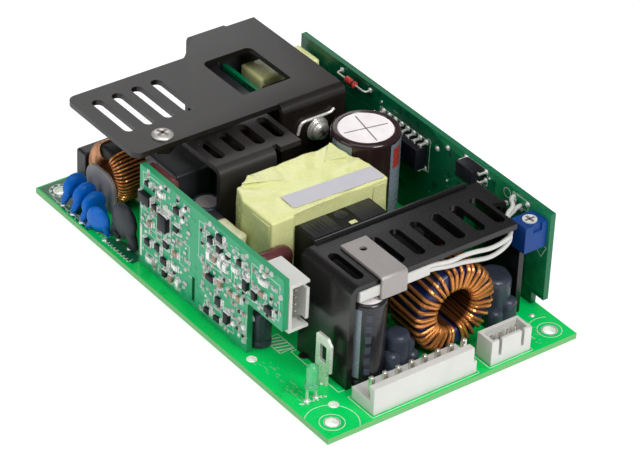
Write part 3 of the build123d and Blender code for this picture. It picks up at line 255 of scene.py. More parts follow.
# Dark fill for recesses: painted shade in screw crosses, can vents and the rotor slot
groove_painted_shade = surface("groove_painted_shade", (0.22, 0.19, 0.19), 0.6, 0.1, 500, 0.1, 3000, metal=0.1)
sleeve_brown = surface("sleeve_brown", (0.026, 0.011, 0.013), 0.16, 0.2, 60, 0.06, 700)
sleeve_dark = surface("sleeve_dark", (0.014, 0.014, 0.018), 0.20, 0.2, 80, 0.06, 700)
sleeve_slate = surface(
    "sleeve_slate", (0.036, 0.045, 0.066), 0.3, 0.25, 120, 0.15, 500, depth=0.15, spec=0.35
)
band_grey = surface("band_grey", (0.19, 0.23, 0.27), 0.25, 0.08, 100, 0.05, 900)
band_red = surface("band_red", (0.40, 0.045, 0.035), 0.3, 0.1, 200, 0.05, 900)
film_brown = surface("film_brown", (0.11, 0.032, 0.032), 0.16, 0.2, 200, 0.1, 400, depth=0.1)
box_black = surface("box_black", (0.020, 0.021, 0.023), 0.36, 0.2, 250, 0.2, 2600, spec=0.4)
disc_blue = surface("disc_blue", (0.0, 0.135, 0.56), 0.34, 0.10, 260, 0.2, 1500, depth=0.06, spec=0.25)
disc_black = surface("disc_black", (0.034, 0.039, 0.047), 0.5, 0.2, 300, 0.25, 1800, spec=0.35)
plate_grey = surface("plate_grey", (0.27, 0.265, 0.265), 0.45, 0.16, 200, 0.25, 1400)
chip_black = surface("chip_black", (0.008, 0.0075, 0.012), 0.42, 0.2, 600, 0.2, 4000, spec=0.25)
chip_tan = surface("chip_tan", (0.36, 0.25, 0.17), 0.45, 0.12, 800, 0.2, 4000)
glass_red = surface("glass_red", (0.42, 0.045, 0.03), 0.12, 0.2, 500, 0.05, 2000)
trimmer_blue = surface("trimmer_blue", (0.005, 0.045, 0.21), 0.4, 0.10, 250, 0.1, 2400, spec=0.25)
rotor_white = surface("rotor_white", (0.70, 0.70, 0.67), 0.35, 0.06, 600, 0.08, 3000, metal=0.1)
solder = surface("solder", (0.80, 0.80, 0.79), 0.30, 0.12, 900, 0.2, 1500, metal=0.5)
silk = surface("silk_white", (0.66, 0.76, 0.68), 0.6, 0.06, 900, 0.1, 5000)
track_green = surface("track_green", (0.0, 0.24, 0.085), 0.35, 0.1, 300, 0.05, 2000)
solder_dull = surface("solder_dull", (0.50, 0.54, 0.52), 0.4, 0.2, 900, 0.2, 1500, metal=0.3)
silk_dim = surface("silk_dim", (0.22, 0.52, 0.30), 0.6, 0.08, 900, 0.1, 5000)
led_green = surface("led_green", (0.17, 0.76, 0.37), 0.08, 0.1, 400, 0.02, 2000, sss=0.3, clear=0.55)
# Darker solder mask for fields of painted shade on the main board
mask_painted_shade = surface("mask_painted_shade", (0.004, 0.14, 0.055), 0.32, 0.2, 300, 0.05, 2600)
# Brighter solder mask for a field of painted light on the right board
mask_painted_light = surface("mask_painted_light", (0.01, 0.24, 0.09), 0.3, 0.25, 300, 0.05, 2600)

# Geometry


def at(axis, u, v, w):
    """A point from two values across an axis and one along it."""
    if axis == "x":
        return Vector((w, u, v))
    if axis == "y":
        return Vector((u, w, v))
    return Vector((u, v, w))


def rounded(corners, steps=6):
    """Corners (x, y, radius) to a closed outline with arcs."""
    out = []
    count = len(corners)
    for i, (x, y, radius) in enumerate(corners):
        here = Vector((x, y))
        before = (Vector(corners[i - 1][:2]) - here).normalized()
        after = (Vector(corners[(i + 1) % count][:2]) - here).normalized()
        if radius <= 0:
            out.append(here)
            continue
        half = before.angle(after) / 2
        reach = radius / math.tan(half)
        centre = here + (before + after).normalized() * (radius / math.sin(half))
        first = (here + before * reach - centre).normalized()
        last = (here + after * reach - centre).normalized()
        for k in range(steps + 1):
            out.append(centre + first.slerp(last, k / steps) * radius)
    return out


def arc(x, y, radius, start, end, steps=6):
    """Points on an arc, in degrees."""
    out = []
    for k in range(steps + 1):
        angle = math.radians(start + (end - start) * k / steps)
        out.append((x + radius * math.cos(angle), y + radius * math.sin(angle)))
    return out


def stadium(x, y, length, width):
    """A round ended slot along X."""
    run = (length - width) / 2
    return arc(x + run, y, width / 2, -90, 90, 8) + arc(x - run, y, width / 2, 90, 270, 8)


def rect(x0, y0, x1, y1):
    """The corners of a rectangle."""
    return [(x0, y0), (x1, y0), (x1, y1), (x0, y1)]


def add_box(bm, low, high, mat=0, bevel=0.0, segments=2):
    """A box, with its edges rounded when bevel is given."""
    made = bmesh.ops.create_cube(bm, size=1.0)["verts"]
    low, high = Vector(low), Vector(high)
    size = high - low
    for v in made:
        v.co = (low + high) / 2 + Vector(v.co[i] * size[i] for i in range(3))
    faces = {f for v in made for f in v.link_faces}
    for f in faces:
        f.material_index = mat
    if bevel:
        edges = list({e for v in made for e in v.link_edges})
        how = {"offset": bevel, "segments": segments, "affect": "EDGES", "profile": 0.5, "material": mat}
        bmesh.ops.bevel(bm, geom=edges, clamp_overlap=True, **how)


def add_prism(bm, outline, axis, low, high, mat=0):
    """An outline across an axis, drawn along it."""
    lower = [bm.verts.new(at(axis, p[0], p[1], low)) for p in outline]
    upper = [bm.verts.new(at(axis, p[0], p[1], high)) for p in outline]
    count = len(outline)
    faces = [bm.faces.new(lower[::-1]), bm.faces.new(upper)]
    for k in range(count):
        j = (k + 1) % count
        faces.append(bm.faces.new((lower[k], lower[j], upper[j], upper[k])))
    for f in faces:
        f.material_index = mat
    return lower + upper


def add_lathe(bm, profile, centre, axis="z", steps=40, mat=0):
    """A profile of (radius, height) turned about an axis through a point."""
    centre = Vector(centre)
    rings = []
    for radius, height in profile:
        spots = [(0, 0)] if radius < 1e-6 else arc(0, 0, radius, 0, 360, steps)[:-1]
        rings.append([bm.verts.new(centre + at(axis, u, v, height)) for u, v in spots])
    for i, (a, b) in enumerate(zip(rings, rings[1:])):
        for k in range(steps):
            j = (k + 1) % steps
            corners = [a[k % len(a)], a[j % len(a)], b[j % len(b)], b[k % len(b)]]
            corners = list(dict.fromkeys(corners))
            if len(corners) > 2:
                f = bm.faces.new(corners)
                f.material_index = mat[i] if isinstance(mat, list) else mat
    return [v for ring in rings for v in ring]


def add_tube(bm, points, radius, sides=8, mat=0):
    """A round tube along points; radius is one value or one for each point."""
    points = [Vector(p) for p in points]
    last = len(points) - 1
    radii = radius if isinstance(radius, list) else [radius] * (last + 1)
    rings = []
    normal = None
    for i, p in enumerate(points):
        along = (points[min(i + 1, last)] - points[max(i - 1, 0)]).normalized()
        normal = along.orthogonal() if normal is None else normal - along * normal.dot(along)
        normal.normalize()
        side = along.cross(normal)
        spots = arc(0, 0, radii[i], 0, 360, sides)[:-1]
        rings.append([bm.verts.new(p + normal * u + side * v) for u, v in spots])
    faces = [bm.faces.new(rings[0][::-1]), bm.faces.new(rings[-1])]
    for a, b in zip(rings, rings[1:]):
        for k in range(sides):
            j = (k + 1) % sides
            faces.append(bm.faces.new((a[k], a[j], b[j], b[k])))
    for f in faces:
        f.material_index = mat


def add_sheet(bm, outline, holes, place, mat=0):
    """A flat area with holes, each corner put in place by a function."""
    loops = [[Vector((p[0], p[1], 0)) for p in loop] for loop in [outline] + holes]
    flat = [p for loop in loops for p in loop]
    made = [bm.verts.new(place(p.x, p.y)) for p in flat]
    for corners in tessellate_polygon(loops):
        if len(set(corners)) == 3:
            bm.faces.new([made[i] for i in corners]).material_index = mat


def add_ribbon(bm, first, second, mat=0):
    """Faces between two rows of points."""
    a = [bm.verts.new(p) for p in first]
    b = [bm.verts.new(p) for p in second]
    for k in range(len(a) - 1):
        bm.faces.new((a[k], a[k + 1], b[k + 1], b[k])).material_index = mat


def add_blob(bm, x, y, z, size, height, axis="z", sign=1, mat=0, steps=10):
    """A low dome of solder on a face."""
    profile = [(1, 0), (0.86, 0.5), (0.5, 0.88), (0, 1)]
    profile = [(size * r, sign * height * h) for r, h in profile]
    add_lathe(bm, profile, (x, y, z), axis, steps, mat)


def add_line(bm, points, width, axis, level, thick, mat=0, closed=False):
    """A printed line of straight runs lying on a face."""
    runs = list(zip(points, points[1:] + points[:1] if closed else points[1:]))
    for (u, v), (p, q) in runs:
        along = Vector((p - u, q - v))
        if along.length < 1e-6:
            continue
        along.normalize()
        across = Vector((-along.y, along.x)) * width / 2
        ends = along * width * 0.35
        corners = [
            (u - ends.x + across.x, v - ends.y + across.y),
            (u - ends.x - across.x, v - ends.y - across.y),
            (p + ends.x - across.x, q + ends.y - across.y),
            (p + ends.x + across.x, q + ends.y + across.y),
        ]
        add_prism(bm, corners, axis, level, level + thick, mat)


def add_ring_line(bm, u, v, radius, width, axis, level, thick, mat=0, start=0, sweep=360, steps=40):
    """A printed circle or arc lying on a face."""
    outer = arc(u, v, radius + width / 2, start, start + sweep, steps)
    inner = arc(u, v, radius - width / 2, start, start + sweep, steps)
    for k in range(steps):
        corners = [outer[k], inner[k], inner[k + 1], outer[k + 1]]
        add_prism(bm, corners, axis, level, level + thick, mat)


def rumple(verts, amount, scale, seed):
    """Small uneven bulges."""
    shift = Vector((seed * 7.3, seed * 3.1, seed * 1.7))
    for v in verts:
        v.co += noise.noise_vector(v.co * scale + shift) * amount


def mesh_object(name, bm, materials):
    """A smooth object in metres from a mesh in millimetres."""
    bmesh.ops.scale(bm, vec=(MM, MM, MM), verts=bm.verts)
    mesh = bpy.data.meshes.new(name)
    bm.to_mesh(mesh)
    bm.free()
    for made in materials:
        mesh.materials.append(made)
    mesh.shade_smooth()
    return add_object(name, mesh)


def piece(name, bm, materials, stands_for=(), sharp=38, body="supply"):
    """A finished piece that rides on a body and may stand for CAD nodes."""
    bmesh.ops.recalc_face_normals(bm, faces=bm.faces)
    obj = mesh_object(name, bm, materials)
    obj.data.set_sharp_from_angle(angle=math.radians(sharp))
    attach(obj, body)
    if stands_for:
        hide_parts(*stands_for)


def edge_bevel(obj, width, segments, harden):
    """Rounded edges as a modifier."""
    made = obj.modifiers.new("edges", "BEVEL")
    made.width = width * MM
    made.segments = segments
    made.limit_method = "ANGLE"
    made.angle_limit = math.radians(35)
    made.harden_normals = harden


def dress(node, material, bevel=0.0):
    """A better material on a CAD node, and soft edges if wanted."""
    obj = nodes[node]
    obj.data.materials.clear()
    obj.data.materials.append(material)
    if bevel:
        weld = obj.modifiers.new("weld", "WELD")
        weld.merge_threshold = 0.000004
        flat = obj.modifiers.new("flat", "DECIMATE")
        flat.decimate_type = "DISSOLVE"
        flat.angle_limit = math.radians(1.0)
        edge_bevel(obj, bevel, 2, False)


def folded_sheet(name, bm, thickness, node, finish):
    """A sheet metal piece: open faces given thickness and soft edges."""
    bmesh.ops.remove_doubles(bm, verts=bm.verts, dist=0.002)
    bmesh.ops.recalc_face_normals(bm, faces=bm.faces)
    highest = max(bm.faces, key=lambda f: f.calc_center_median().z)
    if highest.normal.z < 0:
        bmesh.ops.reverse_faces(bm, faces=bm.faces)
    bmesh.ops.dissolve_limit(bm, angle_limit=0.01, verts=bm.verts, edges=bm.edges)
    obj = mesh_object(name, bm, [finish])
    solid = obj.modifiers.new("solid", "SOLIDIFY")
    solid.thickness = thickness * MM
    solid.offset = -1.0
    solid.use_even_offset = True
    edge_bevel(obj, 0.28, 3, True)
    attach(obj, "supply")
    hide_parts(node)


def add_fold(bm, flat, edge, top, low, sides, axis="y", radius=2.5):
    """The outside of a fold, from the flat's end round to the foot, between two sides along an axis."""
    way = 1 if edge > flat else -1
    path = arc(edge - way * radius, top - radius, radius, 90, 90 - 90 * way, 8) + [(edge, low)]
    first, second = [[at(axis, u, v, side) for u, v in path] for side in sides]
    add_ribbon(bm, first, second)


# Heat sinks
bm = bmesh.new()
plate = [(-51.0, -36.7, 2.4), (-19.6, -36.7, 2.4), (-19.6, 6.6, 0), (-20.1, 6.6, 0), (-20.1, 26.4, 0)]
plate += [(-58.1, 26.4, 0), (-58.1, 17.5, 0), (-58.1, 6.6, 0), (-51.0, -0.7, 1.5)]
holes = [stadium(-37.75, -31.2 + 5.9 * k, 16.9, 3.0) for k in range(4)]
window = [(-46.4, 1.55, 1.8), (-28.0, 1.55, 0.5), (-28.0, 16.65, 0.5), (-46.4, 16.65, 1.8)]
holes += [rounded(window), arc(*ARM_SCREW, 1.6, 0, 337.5, 15)]
add_sheet(bm, rounded(plate), holes, lambda x, y: Vector((x, y, PRIMARY_TOP)))
add_fold(bm, -20.1, -17.6, PRIMARY_TOP, DECK, (6.6, 26.4))
add_fold(bm, -58.1, -60.6, PRIMARY_TOP, DECK, (6.6, 17.5))
folded_sheet("primary_sink_sheet", bm, 1.5, "primary_heat_sink", sink)

bm = bmesh.new()
plate = [(-25.3, -18.8), (-11.1, -18.8), (-11.1, -1.6), (-11.1, 0.0)]
plate += [(-9.35, 0.0), (-9.35, 6.3), (-25.3, 6.3)]
holes = [stadium(-18.3, -15.0 + 6.1 * k, 10.2, 3.0) for k in range(4)]
add_sheet(bm, plate, holes, lambda x, y: Vector((x, y, RECTIFIER_TOP)))
add_fold(bm, -11.1, -8.6, RECTIFIER_TOP, DECK, (-18.8, -1.6))
# The rectifier sink takes the lighter finish: painted sheen on its top
folded_sheet("rectifier_sink_sheet", bm, 1.5, "rectifier_heat_sink", sink_painted_sheen)
bm = bmesh.new()
add_box(bm, (-25.3, -13.6, DECK), (-23.8, 6.3, 29.2), 0, 0.2)
piece("rectifier_sink_leg", bm, [sink])

bm = bmesh.new()
plate = [(31.0, -20.8), (50.7, -20.8), (50.7, 27.0), (40.7, 27.0), (40.7, 29.5), (31.0, 29.5)]
holes = [stadium(42.1, -18.4 + 6.13 * k, 12.2, 2.9) for k in range(8)]
add_sheet(bm, plate, holes, lambda x, y: Vector((x, y, OUTPUT_TOP)))
add_fold(bm, -20.8, -23.3, OUTPUT_TOP, DECK, (31.0, 50.7), "x")
add_fold(bm, 29.5, 32.0, OUTPUT_TOP, 20.0, (31.0, 40.7), "x")
leg = [(31.0, 20.0), (40.7, 20.0), (48.6, 20.0), (48.6, DECK), (31.0, DECK)]
add_sheet(bm, leg, [], lambda x, z: Vector((x, 32.0, z)))
folded_sheet("output_sink_sheet", bm, 1.6, "output_heat_sink", sink_gloss)
bm = bmesh.new()
add_box(bm, (30.0, -19.0, DECK), (31.4, 26.8, 31.6), 0, 0.35)
piece("output_sink_lip", bm, [sink_gloss])

# Screws: a domed head with a dark cross of painted shade for its recess, washers and a shank


def pan_head(bm, centre, axis, radius, height, turned):
    """A domed head with a dark cross standing on it: painted shade for a cross recess."""
    dome = [(0, 0), (radius, 0), (radius, height * 0.3), (radius * 0.93, height * 0.55)]
    dome += [(radius * 0.72, height * 0.84), (radius * 0.4, height * 0.96), (0, height)]
    add_lathe(bm, dome, centre, axis, 36)
    for angle in (turned, turned + 90):
        (c, s), _ = arc(0, 0, radius * 0.6, angle, angle, 1)
        bar = [(u * c - v * s, u * s + v * c) for u, v in rect(-1, -0.24, 1, 0.24)]
        for vert in add_prism(bm, bar, axis, height * 0.5, height * 1.01, 1):
            vert.co += Vector(centre)


bm = bmesh.new()
pan_head(bm, (*ARM_SCREW, PRIMARY_TOP), "z", 2.8, 0.88, 20)
add_lathe(bm, [(0, 31.1), (1.45, 31.1), (1.45, 35.2), (0, 35.2)], (*ARM_SCREW, 0), "z", 20)
piece("arm_fastener", bm, [steel, groove_painted_shade], ["arm_screw"])
bm = bmesh.new()
for low, high, radius in ((0, 0.4, 3.3), (0.4, 0.8, 3.0)):
    washer = [(0, low), (radius - 0.1, low), (radius, low + 0.1)]
    washer += [(radius, high - 0.1), (radius - 0.1, high), (0, high)]
    add_lathe(bm, washer, FLANGE_SCREW, "x", 32)
pan_head(bm, (-16.8, *FLANGE_SCREW[1:]), "x", 2.6, 2.15, 30)
add_lathe(bm, [(0, -5.2), (1.45, -5.2), (1.45, 0.2), (0, 0.2)], FLANGE_SCREW, "x", 20)
piece("flange_fastener", bm, [steel, groove_painted_shade], ["flange_screw"])

# CAD nodes that keep their shape: material, edge radius and names
KEPT = (
    (pcb_green, 0, "main_board"),
    (board_teal, 0, "control_board"),
    (board_dark, 0, "feedback_board standby_board"),
    (sink, 0.12, "heat_sink_nuts"),
    (box_black, 0.12, "switch_transistor output_rectifiers"),
    (box_black, 0.3, "bridge_rectifier x_capacitor"),
    (box_black, 0.45, "filter_capacitor"),
    (clip_grey, 0.1, "sensor_clip"),
    (white_sensor, 0.3, "temperature_sensor"),
    (tinned, 0.08, "ground_tab"),
    (tinned, 0, "led_leads"),
    (ferrite, 0.45, "transformer_core boost_choke_core"),
    (plate_grey, 0.25, "line_choke_plate"),
    (trimmer_blue, 0.14, "trimmer_body"),
    (rotor_white, 0, "trimmer_rotor"),
    (white_plastic, 0.16, "output_header input_header"),
    (white_plastic, 0.14, "signal_header"),
    (white_plastic, 0.18, "side_connector"),
    (pin_bright, 0.12, "output_header_pins signal_header_pins side_connector_pins input_header_pins"),
)
for material, bevel, names in KEPT:
    for node in names.split():
        dress(node, material, bevel)
# A dark cross on the trimmer's rotor: painted shade for its slot
bm = bmesh.new()
for wide, tall in ((1.45, 0.3), (0.3, 1.45)):
    x, y = TRIMMER
    add_prism(bm, rect(x - wide, y - tall, x + wide, y + tall), "z", 28.3, 28.8)
piece("rotor_cross", bm, [groove_painted_shade], body="rotor")

# Wound rings: one continuous wire for each winding


def winding(bm, centre, axis, start, sweep, turns, ring, wire, mat=0, uneven=0.0):
    """A wire wound round a ring's section while it travels round the ring."""
    outer, inner, half = ring
    section = rounded([(x, y, 1.6) for x, y in rect(inner, -half, outer, half)], 4)
    dense = []
    for a, b in zip(section, section[1:] + section[:1]):
        count = max(1, round((b - a).length / 1.5))
        dense += [a.lerp(b, k / count) for k in range(count)]
    reach = [0.0]
    for a, b in zip(dense, dense[1:] + dense[:1]):
        reach.append(reach[-1] + (b - a).length)
    total = len(dense)
    points = []
    for k in range(turns * total + 1):
        radius, depth = dense[k % total]
        turn = k // total + reach[k % total] / reach[-1]
        wander = uneven * (math.sin(2.3 * turn) + 0.6 * math.sin(0.9 * turn + 1.0))
        angle = math.radians(start + sweep * turn / turns + wander)
        points.append(Vector(centre) + at(axis, radius * math.cos(angle), radius * math.sin(angle), depth))
    add_tube(bm, points, wire / 2, 9, mat)


def ring_core(bm, centre, axis, outer, inner, half, soft, mat=0):
    """A ring with soft corners."""
    section = rounded([(x, y, soft) for x, y in rect(inner, -half, outer, half)], 3)
    add_lathe(bm, section + section[:1], centre, axis, 56, mat)
    bmesh.ops.remove_doubles(bm, verts=bm.verts, dist=0.001)


bm = bmesh.new()
ring_core(bm, OUTPUT_RING, "x", 11.2, 6.3, 5.4, 1.1)
piece("output_ring", bm, [core_blue], ["output_choke_core"])
bm = bmesh.new()
winding(bm, OUTPUT_RING, "x", -82, 352, 35, (11.72, 5.72, 5.98), 1.0, 0, 1.5)
# Turns inside the ring's hole take the darker copper: painted shade where the hole is dark
for face in bm.faces:
    middle = face.calc_center_median() - Vector(OUTPUT_RING)
    if middle.x < 4.55 and math.hypot(middle.y, middle.z) < 6.2:
        face.material_index = 1
piece("output_turns", bm, [copper, copper_painted_shade], ["output_choke_winding"])
bm = bmesh.new()
ring_core(bm, LINE_RING, "y", 7.8, 4.3, 4.2, 0.8)
piece("line_ring", bm, [ferrite], ["line_choke_core"])
bm = bmesh.new()
winding(bm, LINE_RING, "y", -70, 140, 19, (8.22, 3.88, 4.62), 0.66)
winding(bm, LINE_RING, "y", 112, 136, 26, (8.2, 3.9, 4.6), 0.5, 1)
piece("line_turns", bm, [copper, copper_fine], ["line_choke_winding"])

# Taped windings. Each fold runs from one point to another, with its height and width
FOLDS = [
    (-4.0, -14.5, 4.0, -9.0, 0.8, 1.3),
    (-2.0, -17.5, 4.5, -12.0, -0.7, 1.2),
    (-4.5, 12.0, 3.0, 4.5, 0.7, 2.2),
    (1.5, 14.0, 5.5, 6.5, -0.5, 1.6),
    (-3.5, 3.0, 5.0, -3.5, 0.5, 2.4),
    (-4.5, 7.5, 1.0, 3.0, -0.45, 1.5),
    (-4.5, -5.0, 3.0, -6.5, -0.35, 1.8),
    (4.0, 14.5, 7.8, 11.0, 0.45, 1.2),
    (2.5, -20.5, 6.5, -15.5, 0.4, 1.1),
]


def fold_height(x, y):
    """Height of the tape's folds above its flat top."""
    here = Vector((x, y))
    total = 0.0
    for x0, y0, x1, y1, height, width in FOLDS:
        first = Vector((x0, y0))
        along = Vector((x1, y1)) - first
        share = min(1.0, max(0.0, (here - first).dot(along) / along.length_squared))
        away = (here - first - along * share).length / width
        if away < 1:
            total += height * (1 - away) ** 1.3 * (1 - 0.7 * share)
    return total


def taped_block(outline, high, soft, seed, amount, folds=False, cell=1.3):
    """A taped block on a fine grid: soft edges, an uneven skin and folds on its top."""
    bm = bmesh.new()
    add_prism(bm, outline, "z", DECK, high)
    edges = [e for e in bm.edges if max(v.co.z for v in e.verts) > DECK + 0.1]
    bmesh.ops.bevel(bm, geom=edges, offset=soft, segments=3, affect="EDGES", clamp_overlap=True, profile=0.6)
    for axis, step in ((0, cell), (1, cell), (2, cell * 2)):
        values = [v.co[axis] for v in bm.verts]
        normal = Vector((axis == 0, axis == 1, axis == 2))
        for k in range(1, int((max(values) - min(values)) / step)):
            place = normal * (min(values) + k * step)
            everything = bm.verts[:] + bm.edges[:] + bm.faces[:]
            bmesh.ops.bisect_plane(bm, geom=everything, plane_co=place, plane_no=normal)
    bm.normal_update()
    shift = Vector((seed * 7.3, seed * 3.1, seed * 1.7))
    for v in bm.verts:
        if v.co.z < DECK + 0.2:
            continue
        v.co += v.normal * noise.noise(v.co * 0.22 + shift) * amount
        if folds:
            v.co.z += fold_height(v.co.x, v.co.y) * max(0.0, (v.co.z - high + 3.0) / 3.0)
    return bm


def add_flap(bm, corners, thick):
    """A loose triangle of tape folded down on the top."""
    upper = [bm.verts.new(c) for c in corners]
    lower = [bm.verts.new((x, y, z - thick)) for x, y, z in corners]
    bm.faces.new(upper)
    bm.faces.new(lower[::-1])
    for k in range(3):
        bm.faces.new((upper[k - 1], lower[k - 1], lower[k], upper[k]))


outline = [(-4.5, -12.7), (-1.5, -19.1), (4.1, -21.3), (16.6, -21.3), (16.6, -14.4)]
outline += [(15.4, -14.4), (15.4, 14.9), (7.8, 14.9), (-4.5, 12.1)]
bm = taped_block(outline, 29.3, 0.8, 3, 0.3, True, 1.0)
add_flap(bm, [(-1.6, -17.4, 29.75), (2.4, -8.6, 29.95), (-3.6, -10.6, 29.4)], 0.14)
add_flap(bm, [(-4.1, 11.2, 30.3), (1.6, 5.4, 29.75), (2.4, 12.0, 29.5)], 0.14)
add_prism(bm, rect(8.6, -21.55, 15.6, -21.2), "z", 3.0, 28.2)
add_prism(bm, rect(15.3, 10.2, 15.65, 13.9), "z", 3.0, 28.2)
piece("transformer_tape", bm, [tape], ["transformer_winding"], 50)
bm = taped_block(rect(-1.6, -28.5, 8.0, -22.1), 22.0, 1.2, 5, 0.25)
add_box(bm, (-5.6, -28.2, DECK), (-1.2, -22.4, 22.2), 1, 0.9, 3)
piece("drive_tape", bm, [tape_pale, box_black], ["drive_transformer"], 50)
bm = taped_block(rect(-50.0, 16.5, -40.5, 35.5), 28.0, 0.9, 8, 0.2)
piece("boost_tape", bm, [tape], ["boost_choke_winding"], 50)
bm = bmesh.new()
liner = [(10.4, DECK), (24.0, DECK), (24.0, 27.0), (21.0, 30.4), (20.4, 33.2), (10.4, 33.2)]
add_prism(bm, liner, "x", -51.4, -51.1)
piece("choke_liner", bm, [box_black])

# Tape and marks on the core
bm = bmesh.new()
add_box(bm, (15.9, -12.9, 25.5), (22.9, -4.6, 25.66), 0, 0.06)
for k in range(5):
    add_box(bm, (17.0, -11.6 + 1.1 * k, 25.66), (21.6, -11.1 + 1.1 * k, 25.74), 0, 0.03)
add_lathe(bm, [(0, 0.3), (1.3, 0.28), (1.7, 0.12), (1.75, 0)], (17.8, -1.4, 25.5), "z", 24)
add_box(bm, (15.9, 1.4, 25.5), (22.9, 8.6, 25.62), 0, 0.05)
add_box(bm, (21.4, -1.8, 25.5), (22.7, 0.2, 25.72), 1, 0.08)
piece("core_tape", bm, [box_black, tape])

# Bare label, lying on the tape with soft corners
bm = bmesh.new()
label = rounded([(x, y, 0.4) for x, y in rect(-2.8, -13.5, 2.8, 13.5)])
tilt = Matrix.Rotation(math.radians(-2.5), 2)
label = [tilt @ p + Vector((11.7, 0.6)) for p in label]
add_prism(bm, label, "z", 29.45, 29.65)
piece("bare_label", bm, [paper], ["transformer_label"])

# Cans


def can(bm, x, y, diameter, top, lip, reach=0.0, turned=0):
    """A sleeved can: rolled edge, recessed metal end with a pressed cross drawn in dark lines of painted
    shade, and a sunken ring near the foot.
    """
    r = diameter / 2
    end = top - 0.3
    profile = [(0, 0), (r - 0.3, 0), (r, 0.3), (r, 1.6), (r - 0.25, 2.1), (r, 2.6)]
    profile = [(radius, DECK + height) for radius, height in profile]
    profile += [(r, top - 1.2)] + arc(r - 1.0, top - 1.0, 1.0, 0, 80, 5)
    profile += [(lip + 0.15, top), (lip, top - 0.25)]
    sleeve = len(profile) - 1
    profile += [(lip - 0.05, end), (0, end)]
    add_lathe(bm, profile, (x, y, 0), "z", 56, [0] * sleeve + [1] * 2)
    for angle in (turned, turned + 90):
        add_line(bm, arc(x, y, reach, angle + 180, angle, 1), reach * 0.06, "z", end, 0.04, 2)


def sleeve_band(bm, centre, radius, start, end, low, high, mat, steps=10):
    """A printed band on a sleeve."""
    path = arc(*centre, radius, start, end, steps)
    add_ribbon(bm, [(x, y, low) for x, y in path], [(x, y, high) for x, y in path], mat)


def coated_can(bm, x, y, radius, top, seed):
    """A can under a coat of grey compound, thicker and uneven toward the foot."""
    profile = [(0, DECK), (radius, DECK), (radius, DECK + 1.5), (radius * 0.99, top * 0.4)]
    profile += [(radius * 0.98, top * 0.7)] + arc(radius - 1.6, top - 1.6, 1.55, 0, 85, 5) + [(0, top - 0.05)]
    made = add_lathe(bm, profile, (x, y, 0), "z", 36)
    rumple([v for v in made if v.co.z > DECK + 0.2], 0.18, 0.35, seed)


bm = bmesh.new()
can(bm, *BULK_CAN, 18.0, 31.6, 7.2, 6.0, -11)
piece("bulk_can", bm, [sleeve_brown, can_metal, groove_painted_shade], ["bulk_capacitor"])
bm = bmesh.new()
sleeve_band(bm, BULK_CAN, 9.03, 256, 300, 3.0, 30.6, 0)
sleeve_band(bm, BULK_CAN, 9.03, 8, 50, 3.0, 30.4, 0)
sleeve_band(bm, BULK_CAN, 9.05, 14, 36, 23.0, 29.0, 1, 8)
piece("bulk_bands", bm, [band_grey, band_red])
bm = bmesh.new()
can(bm, -14.5, -18.5, 8.2, 17.8, 2.9)
piece("supply_can", bm, [sleeve_slate, clip_grey], ["supply_capacitor"])
bm = bmesh.new()
can(bm, 23.6, -29.1, 5.8, 12.4, 2.2, 1.6, 60)
piece("board_can", bm, [sleeve_slate, can_metal, groove_painted_shade], ["board_capacitor"])
bm = bmesh.new()
can(bm, *TALL_CAN, 10.0, 25.6, 4.1, 3.2, 20)
piece("tall_can", bm, [sleeve_dark, can_metal, groove_painted_shade], ["output_capacitor_tall"])
bm = bmesh.new()
sleeve_band(bm, TALL_CAN, 5.03, 274, 309, 4.4, 24.2, 0)
for k in range(6):
    sleeve_band(bm, TALL_CAN, 5.04, 322, 338, 5.5 + 3.1 * k, 7.5 + 3.1 * k, 1, 5)
piece("tall_bands", bm, [band_grey, sleeve_slate])
bm = bmesh.new()
coated_can(bm, 49.9, -7.8, 3.25, 12.6, 4)
coated_can(bm, 49.4, -5.4, 2.9, 9.6, 5)
coated_can(bm, 51.3, -10.4, 2.2, 8.4, 6)
coated_can(bm, 51.2, -4.2, 2.0, 6.4, 7)
piece("low_can", bm, [sleeve_slate], ["output_capacitor_low"], 60)
bm = bmesh.new()
coated_can(bm, 45.5, 25.4, 4.6, 14.2, 9)
coated_can(bm, 48.8, 27.4, 2.6, 8.0, 10)
coated_can(bm, 49.2, 23.0, 2.4, 6.6, 11)
piece("right_can", bm, [sleeve_slate], ["output_capacitor_right"])

# Dipped film capacitors


def dipped(bm, low, high, soft, seed, legs):
    """A soft dipped body on two wire legs."""
    add_box(bm, low, high, 0, soft, 5)
    rumple(bm.verts, 0.1, 0.3, seed)
    for x, y in legs:
        add_tube(bm, [(x, y, DECK), (x, y, low[2] + 1.6)], 0.35, 8, 1)


bm = bmesh.new()
dipped(bm, (-23.3, -32.2, 9.0), (-11.5, -28.8, 29.0), 0.9, 2, [(-21.6, -30.5), (-13.2, -30.5)])
piece("film_body_a", bm, [film_brown, tinned], ["film_capacitor_a"], 60)
bm = bmesh.new()
dipped(bm, (17.6, -28.4, 13.8), (22.4, -18.1, 24.6), 2.2, 6, [(20.0, -25.7), (20.0, -20.8)])
piece("film_body_b", bm, [film_brown, tinned], ["film_capacitor_b"], 60)

# Dipped discs


